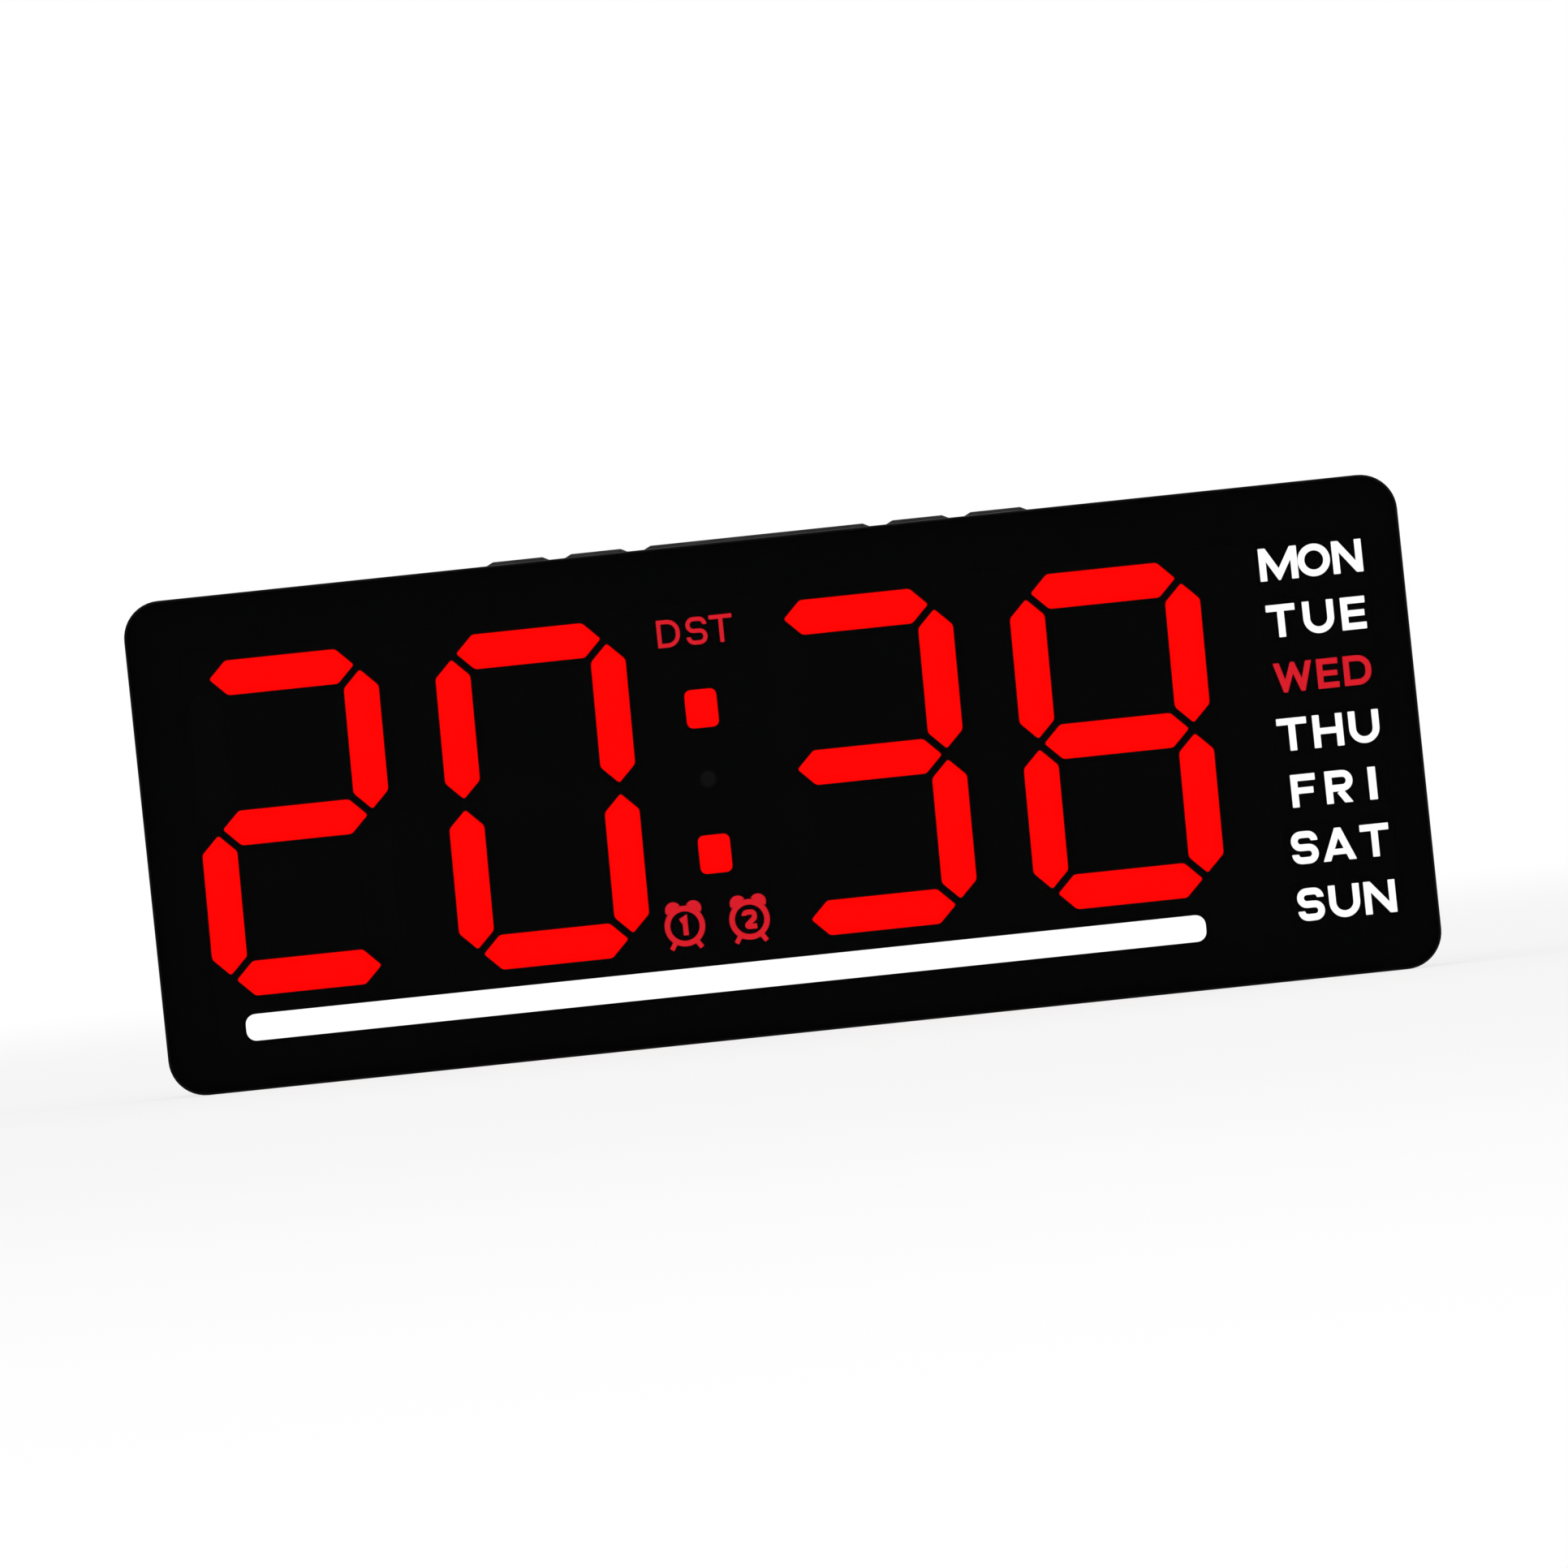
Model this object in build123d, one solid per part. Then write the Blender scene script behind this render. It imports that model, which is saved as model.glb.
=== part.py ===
from build123d import *
from math import radians, sqrt, tan
import os

# Digital desk clock: a slim black case whose whole front is one smoked panel over red digits.
# X runs to the right as seen from the front, Y runs from the front panel to the back, Z is up.
# The origin is the middle of the flat bottom on which the clock stands. Sizes are millimetres.

# Case
case_width = 240.0
case_height = 93.2
case_depth = 28.0
case_corner = 7.0
wall = 2.2
housing_depth = 15.7
back_edge_round = 2.0
seam_chamfer = 0.25

# Front panel and the tape that holds it
panel_thickness = 2.0
panel_edge_round = 0.6
tape_thickness = 0.3
tape_width = 3.2
tape_inset = 0.6

# Display opening in the front wall of the housing
web_thickness = 2.0
side_margin = 5.0
top_margin = 10.6
bottom_margin = 8.2
display_corner = 2.0
display_gap = 0.3

# Reflector
reflector_depth = 8.7
face_thickness = 1.6
rim_wall = 1.4
flange_lip = 1.0
flange_thickness = 1.6
cell_wall = 1.2
insert_thickness = 1.4
insert_fit = 0.05
insert_ledge = 0.45
lug_width = 8.0
lug_thickness = 1.6
lug_stand = 2.6
lug_screw_length = 4.0
lug_edge = 32.0

# Digits, which fill the display from its left edge to the weekday marks, above the light bar
digit_left_gap = 5.4
digit_gap = 10.8
colon_gap = 26.0
digit_day_gap = 11.5
digit_top_gap = 1.85
digit_bar_gap = 3.45
digit_lean = 0.68
segment_width = 6.5
segment_setback = 1.05
segment_tip_round = 0.4
segment_shoulder_round = 1.2
segment_exit_length = 14.0
segment_exit_width = 4.6

# Colon, lamps for the two alarms, the summer time mark and the days of the week
colon_shift = 0.4
colon_drop = 0.4
colon_closing = 0.45
colon_width = 6.0
colon_height = 7.2
colon_corner = 1.2
alarm_width = 8.6
alarm_height = 10.0
alarm_pitch = 12.2
alarm_shift = 0.8
alarm_rise = 1.7
summer_width = 16.0
summer_height = 7.0
summer_drop = 0.4
day_count = 7
day_width = 20.4
day_gap = 2.9
day_right_gap = 1.9
day_top_gap = 0.5
day_bottom_gap = 1.9
tile_corner = 0.8
mark_exit_inset = 0.9

# White light bar under the digits
bar_left_inset = 4.7
bar_right_inset = 5.0
bar_bottom = 9.2
bar_height = 5.0
bar_corner = 1.9

# Boards and what is soldered to them
board_thickness = 1.6
chip_length = 3.5
chip_width = 2.8
chip_height = 1.4
chip_spread = 7.0
day_chip_spread = 9.0
bar_chip_count = 14
controller_side = 12.0
controller_height = 1.6
controller_drop = 6.0
driver_width = 10.0
driver_height = 4.0
driver_thickness = 1.8
driver_screw_gap = 0.7
driver_digits = (0, 2, 3)
crystal_length = 11.0
crystal_width = 4.6
crystal_height = 3.4
crystal_drop = 22.2
capacitor_radius = 3.15
capacitor_height = 5.6
capacitor_x = 21.5
capacitor_rise = 8.8
buzzer_radius = 6.0
buzzer_height = 7.0
buzzer_x = -35.0
buzzer_rise = 6.8
sensor_side = 2.0
sensor_height = 0.8
pipe_radius = 1.5
pipe_wall = 1.2
pipe_fit = 0.05

# Keys along the top: four short ones and the long snooze bar between them
key_proud = 0.8
key_depth = 7.0
key_setback = 12.0
key_width = 12.2
key_inner_x = 30.4
key_pitch = 14.8
snooze_width = 43.0
key_corner = 1.8
key_slope_height = 0.7
key_slope_run = 1.4
key_gap = 0.3
key_flange = 0.8
key_flange_thickness = 1.0
key_rest_gap = 0.05
key_travel = 0.4
switch_side = 6.0
switch_height = 3.2
plunger_radius = 1.75
plunger_fit = 0.1
plunger_rise = 0.8
plunger_sink = 0.8
plunger_room = 0.3
button_board_thickness = 1.2
button_board_depth = 8.0
button_board_overhang = 2.6
rail_thickness = 1.4
rail_groove = 1.2
rail_foot = 1.0
rail_fit = 0.05
hook_width = 4.0
hook_thickness = 1.3
hook_reach = 1.7
header_width = 12.0
header_depth = 2.5
header_height = 5.5

# Screws and their bosses
boss_radius = 2.3
boss_hole = 1.3
boss_rib = 1.2
cover_boss_radius = 3.4
screw_radius = 1.25
screw_head_radius = 2.1
screw_head_height = 1.6
screw_head_room = 0.2
cover_screw_edge = 12.0
cover_screw_board_gap = 10.1
cover_screw_bottom_x = 35.0
cover_screw_floor = 5.5
cover_screw_length = 10.0
short_screw_length = 5.0
board_screw_inset = 4.2
screw_bore_room = 0.15
screw_pilot_spare = 1.0

# Rear cover
lip_gap = 0.15
lip_thickness = 1.0
lip_height = 1.4
lip_root = 2.0
lip_clearance = 0.4
keyhole_spacing = 150.0
keyhole_drop = 25.2
keyhole_entry = 4.2
keyhole_neck = 2.3
keyhole_rise = 8.0
keyhole_pocket = 4.8
keyhole_depth = 5.5
pocket_wall = 1.4
grille_radius = 9.5
grille_slot = 1.6
grille_pitch = 3.2

# Fold-out legs
leg_edge = 32.0
leg_width = 22.0
leg_length = 50.0
leg_gap = 0.3
hinge_inset = 2.75
leg_tip_thickness = 3.4
leg_tip_corner = 6.0
leg_edge_round = 0.8
leg_relief_depth = 1.2
leg_relief_margin = 4.0
trunnion_radius = 1.4
trunnion_length = 1.9
trunnion_fit = 0.05
leg_side_wall = 2.4
pad_width = 16.0
pad_length = 12.0
pad_thickness = 0.8
pad_corner = 2.0
pad_fit = 0.1
pad_from_tip = 4.0
notch_radius = 6.0
notch_depth = 1.4

# Backup cell, its bay and its screwed door
cell_x = 35.0
cell_drop = 3.7
cell_radius = 10.0
cell_thickness = 3.2
cell_step = 0.3
cell_rim = 1.5
cell_gap = 0.3
bay_wall = 1.6
bay_floor = 1.4
contact_thickness = 0.3
contact_width = 4.0
contact_reach = 8.0
contact_slot_room = 0.3
door_width = 26.0
door_thickness = 1.6
door_corner = 3.0
door_gap = 0.3
door_margin = 2.5
door_screw_offset = 16.5
door_screw_length = 5.0
door_ledge = 1.6
door_recess = 0.9

# Power inlet
inlet_x = 0.0
inlet_width = 8.94
inlet_height = 3.16
inlet_length = 7.3
inlet_shell = 0.3
inlet_fit = 0.2
tongue_width = 6.7
tongue_thickness = 0.7
tongue_length = 5.0
inlet_board_width = 18.0
inlet_board_z = 11.0
inlet_board_gap = 0.3
shelf_thickness = 1.6
shelf_inset = 1.0
shelf_start = 1.0

# Depths, front to back
front = -case_depth / 2
back = case_depth / 2
panel_back = front + panel_thickness
housing_front = panel_back + tape_thickness
web_back = housing_front + web_thickness
lug_seat = web_back + lug_stand
board_front = housing_front + reflector_depth
board_back = board_front + board_thickness
split = housing_front + housing_depth
cover_inside = back - wall
insert_seat = housing_front + insert_thickness

# Display limits
display_width = case_width - 2 * side_margin
display_top = case_height - top_margin
display_bottom = bottom_margin

# Column of weekday marks at the display's right edge
day_bottom = display_bottom + day_bottom_gap
day_top = display_top - day_top_gap
day_height = (day_top - day_bottom - (day_count - 1) * day_gap) / day_count
day_pitch = day_height + day_gap
day_x = display_width / 2 - day_right_gap - day_width / 2

# Outer limits of the digits, and from them each digit's size and place
digits_left = -display_width / 2 + digit_left_gap
digits_right = day_x - day_width / 2 - digit_day_gap
digits_top = display_top - digit_top_gap
digits_bottom = bar_bottom + bar_height + digit_bar_gap
pair_width = (digits_right - digits_left - colon_gap) / 2
digit_width = (pair_width - digit_gap) / 2
digit_column_pitch = digit_width - segment_width
digit_row_pitch = (digits_top - digits_bottom - segment_width) / 2
digit_middle = (digits_top + digits_bottom) / 2
first_x = digits_left + digit_width / 2
last_x = digits_right - digit_width / 2
digit_pitch = digit_width + digit_gap
digit_xs = (first_x, first_x + digit_pitch, last_x - digit_pitch, last_x)

# Marks between the hours and the minutes
colon_x = (first_x + last_x) / 2 + colon_shift
alarm_z = digit_middle - digit_row_pitch + alarm_rise
summer_z = digit_middle + digit_row_pitch - summer_drop

# Places on the lamp board and in the cover
board_screw_rise = digit_row_pitch - board_screw_inset
driver_z = digit_middle - board_screw_rise + screw_head_radius + driver_screw_gap + driver_height / 2
crystal_z = digit_middle - crystal_drop
capacitor_z = display_bottom + capacitor_rise
buzzer_z = digit_middle + buzzer_rise
cell_z = digit_middle - cell_drop
keyhole_z = case_height - keyhole_drop
leg_x = case_width / 2 - leg_edge
lug_x = case_width / 2 - lug_edge

# Heights of the screw bosses above and below the display
top_boss_z = (display_top + flange_lip + case_height - wall) / 2
bottom_boss_z = (display_bottom - flange_lip + wall) / 2

# Heights in the stack under the keys
roof = case_height - wall
flange_top = roof - key_rest_gap
flange_bottom = flange_top - key_flange_thickness
switch_top = flange_bottom - plunger_rise
button_board_top = switch_top - switch_height
button_board_bottom = button_board_top - button_board_thickness
key_y = front + key_setback
button_board_length = 2 * (key_inner_x + key_pitch) + key_width + 2 * button_board_overhang

# Hinge line of the legs
hinge_y = back - hinge_inset
hinge_z = hinge_inset
leg_pocket_floor = back - 2 * hinge_inset - leg_gap
leg_pocket_top = hinge_z + leg_length + leg_gap

# Depths and heights in the cell bay
door_inside = back - door_thickness
cell_front = door_inside - cell_thickness - contact_thickness
bay_front = cell_front - bay_floor
door_screw_z = cell_z + door_screw_offset
door_bottom = cell_z - cell_radius - door_margin
door_top = door_screw_z + screw_head_radius + door_margin

key_places = {
    "alarm": (-key_inner_x - key_pitch, key_width),
    "set": (-key_inner_x, key_width),
    "snooze": (0.0, snooze_width),
    "down": (key_inner_x, key_width),
    "up": (key_inner_x + key_pitch, key_width),
}

# Column and row of each segment in half pitches from the digit's middle, and whether it stands
segment_places = {
    "a": (0, 2, False),
    "b": (1, 1, True),
    "c": (1, -1, True),
    "d": (0, -2, False),
    "e": (-1, -1, True),
    "f": (-1, 1, True),
    "g": (0, 0, False),
}
lit_segments = ("abged", "abcdef", "abgcd", "abcdefg")


def front_plane(y):
    """Drawing plane at depth y, seen from the front: X to the right and Z up."""
    return Plane(origin=(0, y, 0), x_dir=(1, 0, 0), z_dir=(0, -1, 0))


def slab(outline, y_front, y_back):
    """An outline drawn as seen from the front, made solid between two depths."""
    return extrude(front_plane(y_back) * outline, amount=y_back - y_front)


def block(x_range, y_range, z_range):
    """A box between given limits."""
    low = [min(r) for r in (x_range, y_range, z_range)]
    size = [abs(r[1] - r[0]) for r in (x_range, y_range, z_range)]
    return Pos(*low) * Box(*size, align=(Align.MIN, Align.MIN, Align.MIN))


def rod(x, z, radius, y_front, y_back):
    """A round bar along Y."""
    return slab(Pos(x, z) * Circle(radius), y_front, y_back)


def case_outline(inset):
    """The case seen from the front, drawn in by an inset."""
    shape = RectangleRounded(
        case_width - 2 * inset, case_height - 2 * inset, case_corner - inset
    )
    return Pos(0, case_height / 2) * shape


def display_outline(grow):
    """The display opening seen from the front, made larger by grow on each side."""
    shape = RectangleRounded(
        display_width + 2 * grow,
        display_top - display_bottom + 2 * grow,
        max(display_corner + grow, display_corner / 2),
    )
    return Pos(0, (display_top + display_bottom) / 2) * shape


def leaning(x, z):
    """A point of the digits, moved sideways by their slight lean."""
    return (x + (z - digit_middle) * tan(radians(digit_lean)), z)


def segment_points(x, z, upright, length, width):
    """The six corners of a segment with pointed ends, starting at its lower or left tip."""
    half_length = length / 2
    half_width = width / 2
    shoulder = half_length - half_width
    corners = (
        (-half_length, 0),
        (-shoulder, half_width),
        (shoulder, half_width),
        (half_length, 0),
        (shoulder, -half_width),
        (-shoulder, -half_width),
    )
    if upright:
        return [leaning(x + across, z + along) for along, across in corners]
    return [leaning(x + along, z + across) for along, across in corners]


def segment_outline(x, z, upright, grow):
    """A segment with its soft tips and shoulders, made larger by grow on each side."""
    pitch = digit_row_pitch if upright else digit_column_pitch
    length = pitch - 2 * segment_setback + 2 * sqrt(2) * grow
    points = segment_points(x, z, upright, length, segment_width + 2 * grow)
    tip = segment_tip_round
    shoulder = segment_shoulder_round
    radii = (tip, shoulder, shoulder, tip, shoulder, shoulder)
    return make_face(FilletPolyline(*points, radius=radii, close=True))


def segment_well(x, z, upright):
    """The space of one segment: a straight seat for its insert, then a taper to the lamps."""
    pitch = digit_row_pitch if upright else digit_column_pitch
    seat = slab(segment_outline(x, z, upright, insert_fit), housing_front, insert_seat)
    length = pitch - 2 * segment_setback - 2 * sqrt(2) * insert_ledge
    wide = segment_points(x, z, upright, length, segment_width - 2 * insert_ledge)
    narrow = segment_points(x, z, upright, segment_exit_length, segment_exit_width)
    mouth = front_plane(insert_seat) * make_face(Polyline(*wide, close=True))
    exit_face = front_plane(board_front) * make_face(Polyline(*narrow, close=True))
    return [seat, loft([mouth.face(), exit_face.face()], ruled=True)]


def window_well(x, z, width, height, corner):
    """The space behind a rectangular mark: a seat for its tile, then a taper to the lamps."""
    seat_shape = RectangleRounded(width + 2 * insert_fit, height + 2 * insert_fit, corner)
    seat = slab(Pos(x, z) * seat_shape, housing_front, insert_seat)
    mouth_shape = Rectangle(width - 2 * insert_ledge, height - 2 * insert_ledge)
    mouth = front_plane(insert_seat) * Pos(x, z) * mouth_shape
    exit_shape = Rectangle(width - 2 * mark_exit_inset, height - 2 * mark_exit_inset)
    exit_face = front_plane(board_front) * Pos(x, z) * exit_shape
    return [seat, loft([mouth.face(), exit_face.face()], ruled=True)]


def tile(x, z, width, height, corner):
    """A diffuser that lies flush in its seat."""
    return slab(Pos(x, z) * RectangleRounded(width, height, corner), housing_front, insert_seat)


def digit_segments(index, letters):
    """The places of some segments of one digit."""
    places = []
    for letter in letters:
        column, row, upright = segment_places[letter]
        x = digit_xs[index] + column * digit_column_pitch / 2
        z = digit_middle + row * digit_row_pitch / 2
        places.append((x, z, upright))
    return places


def day_places():
    """The middles of the weekday marks, from the top down."""
    return [(day_x, day_top - day_height / 2 - i * day_pitch) for i in range(day_count)]


def colon_places():
    """The middles of the two dots of the colon."""
    middle = digit_middle - colon_drop
    rise = digit_row_pitch / 2 - colon_closing
    return [leaning(colon_x, middle + s * rise) for s in (1, -1)]


def indicator_windows():
    """Place and size of the two alarm marks and the summer time mark."""
    alarm_x, z = leaning(colon_x - alarm_shift, alarm_z)
    alarms = [(alarm_x + s * alarm_pitch / 2, z, alarm_width, alarm_height) for s in (-1, 1)]
    return alarms + [(*leaning(colon_x, summer_z), summer_width, summer_height)]


def rectangular_windows():
    """Every rectangular mark except the light bar, as place, size and corner."""
    windows = [(*place, colon_width, colon_height, colon_corner) for place in colon_places()]
    windows += [(*window, tile_corner) for window in indicator_windows()]
    windows += [(*place, day_width, day_height, tile_corner) for place in day_places()]
    return windows


def bar_place():
    """Middle and length of the light bar."""
    left = digits_left + bar_left_inset
    right = digits_right - bar_right_inset
    return (left + right) / 2, bar_bottom + bar_height / 2, right - left


def board_screw_places():
    """Screws of the lamp board, in the reflector's solid bars between the digits."""
    day_edge = day_x - day_width / 2
    columns = (
        (digit_xs[0] + digit_xs[1]) / 2,
        (digit_xs[2] + digit_xs[3]) / 2,
        (digits_right + day_edge) / 2,
    )
    return [(x, digit_middle + s * board_screw_rise) for x in columns for s in (-1, 1)]


def lug_places():
    """Screws that hold the reflector to the front housing, above and below it."""
    return [(s * lug_x, z) for z in (bottom_boss_z, top_boss_z) for s in (-1, 1)]


def cover_screw_places():
    """Screws that hold the rear cover."""
    outer = case_width / 2 - cover_screw_edge
    top_inner = button_board_length / 2 + cover_screw_board_gap
    rows = ((outer, top_boss_z), (top_inner, top_boss_z))
    rows += ((outer, bottom_boss_z), (cover_screw_bottom_x, bottom_boss_z))
    return [(side * x, z) for x, z in rows for side in (-1, 1)]


def key_outline(x, width, grow):
    """A key seen from above, made larger by grow on each side."""
    shape = RectangleRounded(width + 2 * grow, key_depth + 2 * grow, key_corner + grow)
    return Pos(x, key_y) * shape


def screw(x, z, seat_y, length):
    """A screw driven towards the front, with its head on a seat."""
    shank = rod(x, z, screw_radius, seat_y - length, seat_y)
    return shank + rod(x, z, screw_head_radius, seat_y, seat_y + screw_head_height)


def boss_to_wall(x, z, radius, y_front, y_back):
    """A screw boss with a rib to the top or bottom wall, whichever is nearer."""
    wall_z = roof if z > case_height / 2 else wall
    rib = block((x - boss_rib / 2, x + boss_rib / 2), (y_front, y_back), (z, wall_z))
    return rod(x, z, radius, y_front, y_back) + rib


def make_front_lens():
    """The smoked panel over the whole front, with a softened front edge."""
    panel = slab(case_outline(0), front, panel_back)
    edge = panel.faces().sort_by(Axis.Y)[0].edges()
    return fillet(edge, panel_edge_round)


def make_lens_tape():
    """The frame of thin tape between the panel and the housing."""
    ring = case_outline(tape_inset) - case_outline(tape_inset + tape_width)
    return slab(ring, panel_back, housing_front)


def make_front_housing():
    """The case's front half: walls, front web, key holes, screw bosses and board rails."""
    body = slab(case_outline(0), housing_front, split)
    body = chamfer(body.faces().sort_by(Axis.Y)[-1].edges(), seam_chamfer)
    body -= slab(case_outline(wall), web_back, split)
    body -= slab(display_outline(display_gap), housing_front, web_back)
    for x, z in cover_screw_places():
        body += boss_to_wall(x, z, boss_radius, web_back, split)
    for x, z in lug_places():
        body += boss_to_wall(x, z, boss_radius, web_back, lug_seat)
    body += board_rails()
    screw_tip = back - cover_screw_floor - cover_screw_length - screw_pilot_spare
    cuts = [rod(x, z, boss_hole, screw_tip, split) for x, z in cover_screw_places()]
    cuts += [rod(x, z, boss_hole, web_back, lug_seat) for x, z in lug_places()]
    for x, width in key_places.values():
        hole = Pos(0, 0, roof) * key_outline(x, width, key_gap)
        cuts.append(extrude(hole, amount=wall))
    return body - cuts


def board_rails():
    """Two grooved ribs and two hooks under the roof that hold the button board."""
    half = button_board_length / 2
    y_front = key_y - button_board_depth / 2
    y_back = key_y + button_board_depth / 2
    low = button_board_bottom - rail_foot
    hook_front = key_y + key_depth / 2 + key_flange + key_gap
    hook_x = key_inner_x + key_pitch / 2
    parts = []
    for side in (-1, 1):
        inner = side * (half - rail_groove + rail_fit)
        outer = side * (half + rail_fit + rail_thickness)
        rail = block((inner, outer), (y_front - rail_thickness, hook_front), (low, roof))
        groove_x = (inner, side * (half + rail_fit))
        groove_z = (button_board_bottom, button_board_top + rail_fit)
        rail -= block(groove_x, (y_front - rail_fit, hook_front), groove_z)
        hook_xs = (side * hook_x - hook_width / 2, side * hook_x + hook_width / 2)
        stem = block(hook_xs, (hook_front, hook_front + hook_thickness), (low, roof))
        foot_y = (y_back - hook_reach, hook_front)
        foot = block(hook_xs, foot_y, (low, button_board_bottom))
        parts += [rail, stem + foot]
    return parts


def make_digit_reflector():
    """The moulded display block: a face, a rim and a walled cell behind every lit mark."""
    body = slab(display_outline(0), housing_front, housing_front + face_thickness)
    body += slab(display_outline(0) - display_outline(-rim_wall), housing_front, board_front)
    flange = display_outline(flange_lip) - display_outline(-rim_wall)
    body += slab(flange, web_back, web_back + flange_thickness)
    for cell in reflector_cells():
        body += slab(cell & display_outline(0), housing_front, board_front)
    for x, z in lug_places():
        body += reflector_lug(x, z)
    cuts = []
    for index in range(len(digit_xs)):
        for place in digit_segments(index, segment_places):
            cuts += segment_well(*place)
    for window in rectangular_windows():
        cuts += window_well(*window)
    middle_x, middle_z, length = bar_place()
    cuts += window_well(middle_x, middle_z, length, bar_height, bar_corner)
    cuts.append(rod(colon_x, digit_middle, pipe_radius + pipe_fit, housing_front, board_front))
    pilot = board_front - short_screw_length + board_thickness - screw_pilot_spare
    cuts += [rod(x, z, boss_hole, pilot, board_front) for x, z in board_screw_places()]
    return body - cuts


def reflector_cells():
    """Outlines of the walled cells: one round each digit and each other mark."""
    half_digit = (digit_column_pitch + segment_width) / 2 + cell_wall
    half_height = digit_row_pitch + segment_width / 2 + cell_wall
    counter_x = (digit_column_pitch - segment_width) / 2 - cell_wall
    counter_z = (digit_row_pitch - segment_width) / 2 - cell_wall
    cells = []
    for x in digit_xs:
        cell = leaning_rectangle(x, digit_middle, half_digit, half_height)
        for side in (-1, 1):
            counter_middle = digit_middle + side * digit_row_pitch / 2
            cell -= leaning_rectangle(x, counter_middle, counter_x, counter_z)
        cells.append(cell)
    for x, z, width, height, corner in rectangular_windows():
        cells.append(Pos(x, z) * Rectangle(width + 2 * cell_wall, height + 2 * cell_wall))
    middle_x, middle_z, length = bar_place()
    bar_cell = Rectangle(length + 2 * cell_wall, bar_height + 2 * cell_wall)
    cells.append(Pos(middle_x, middle_z) * bar_cell)
    cells.append(Pos(colon_x, digit_middle) * Circle(pipe_radius + pipe_wall))
    for x, z in board_screw_places():
        cells.append(Pos(x, z) * Circle(boss_radius))
    return cells


def leaning_rectangle(x, z, half_width, half_height):
    """A rectangle with the digits' lean."""
    corners = ((-1, -1), (1, -1), (1, 1), (-1, 1))
    points = [leaning(x + i * half_width, z + j * half_height) for i, j in corners]
    return make_face(Polyline(*points, close=True))


def reflector_lug(x, z):
    """A screw ear on the reflector's rim, resting on its boss."""
    edge = display_top if z > digit_middle else display_bottom
    end = z + boss_radius if z > digit_middle else z - boss_radius
    xs = (x - lug_width / 2, x + lug_width / 2)
    ys = (lug_seat, lug_seat + lug_thickness)
    ear = block(xs, ys, (edge, end))
    return ear - rod(x, z, screw_radius + screw_bore_room, *ys)


def make_inserts(index, letters):
    """The diffusers of some segments of one digit, flush with the reflector's face."""
    places = digit_segments(index, letters)
    return [slab(segment_outline(*place, 0), housing_front, insert_seat) for place in places]


def make_light_bar():
    """The frosted bar with rounded ends."""
    middle_x, middle_z, length = bar_place()
    return tile(middle_x, middle_z, length, bar_height, bar_corner)


def make_led_board():
    """The board behind the reflector, with holes for its screws."""
    body = slab(display_outline(0), board_front, board_back)
    radius = screw_radius + screw_bore_room
    return body - [rod(x, z, radius, board_front, board_back) for x, z in board_screw_places()]


def make_led_chips():
    """The lamps on the front of the board, two behind each segment and mark."""
    places = []
    for index in range(len(digit_xs)):
        for x, z, upright in digit_segments(index, segment_places):
            for side in (-1, 1):
                step = side * chip_spread / 2
                along = (x, z + step) if upright else (x + step, z)
                places.append((*leaning(*along), upright))
    places += [(x, z, True) for x, z in colon_places()]
    places += [(x, z, False) for x, z, width, height in indicator_windows()]
    for x, z in day_places():
        places += [(x + side * day_chip_spread / 2, z, False) for side in (-1, 1)]
    middle_x, middle_z, length = bar_place()
    bar_step = length / bar_chip_count
    for i in range(bar_chip_count):
        places.append((middle_x - length / 2 + (i + 0.5) * bar_step, middle_z, False))
    return [led_chip(*place) for place in places]


def led_chip(x, z, upright):
    """One lamp on the board's front face."""
    size = (chip_width, chip_length) if upright else (chip_length, chip_width)
    return slab(Pos(x, z) * Rectangle(*size), board_front - chip_height, board_front)


def make_controller_chip():
    """The flat controller in the middle of the board's back, turned by 45 degrees."""
    outline = Rot(0, 0, 45) * Rectangle(controller_side, controller_side)
    place = Pos(colon_x, digit_middle - controller_drop)
    return slab(place * outline, board_back, board_back + controller_height)


def make_driver_chips():
    """The lamp drivers on the board's back."""
    outline = Rectangle(driver_width, driver_height)
    depth = board_back + driver_thickness
    xs = [digit_xs[i] for i in driver_digits]
    return [slab(Pos(x, driver_z) * outline, board_back, depth) for x in xs]


def make_crystal():
    """The crystal in its oval can."""
    outline = SlotOverall(crystal_length, crystal_width)
    place = Pos(colon_x, crystal_z)
    return slab(place * outline, board_back, board_back + crystal_height)


def make_capacitors():
    """Two upright capacitor cans."""
    ys = (board_back, board_back + capacitor_height)
    return [rod(s * capacitor_x, capacitor_z, capacitor_radius, *ys) for s in (-1, 1)]


def make_buzzer():
    """The round buzzer behind the grille, with the sound hole in its face."""
    depth = board_back + buzzer_height
    body = rod(buzzer_x, buzzer_z, buzzer_radius, board_back, depth)
    return body - rod(buzzer_x, buzzer_z, screw_radius, depth - screw_radius, depth)


def make_light_sensor():
    """The light sensor chip behind its light pipe."""
    outline = Pos(colon_x, digit_middle) * Rectangle(sensor_side, sensor_side)
    return slab(outline, board_front - sensor_height, board_front)


def make_sensor_pipe():
    """The clear pipe that brings light to the sensor."""
    return rod(colon_x, digit_middle, pipe_radius, housing_front, board_front - sensor_height)


def make_button_board():
    """The narrow board under the keys."""
    half = button_board_length / 2
    ys = (key_y - button_board_depth / 2, key_y + button_board_depth / 2)
    return block((-half, half), ys, (button_board_bottom, button_board_top))


def make_button_header():
    """The pin header between the button board and the lamp board."""
    half = header_width / 2
    zs = (button_board_bottom - header_height, button_board_bottom)
    return block((-half, half), (board_back, board_back + header_depth), zs)


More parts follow.
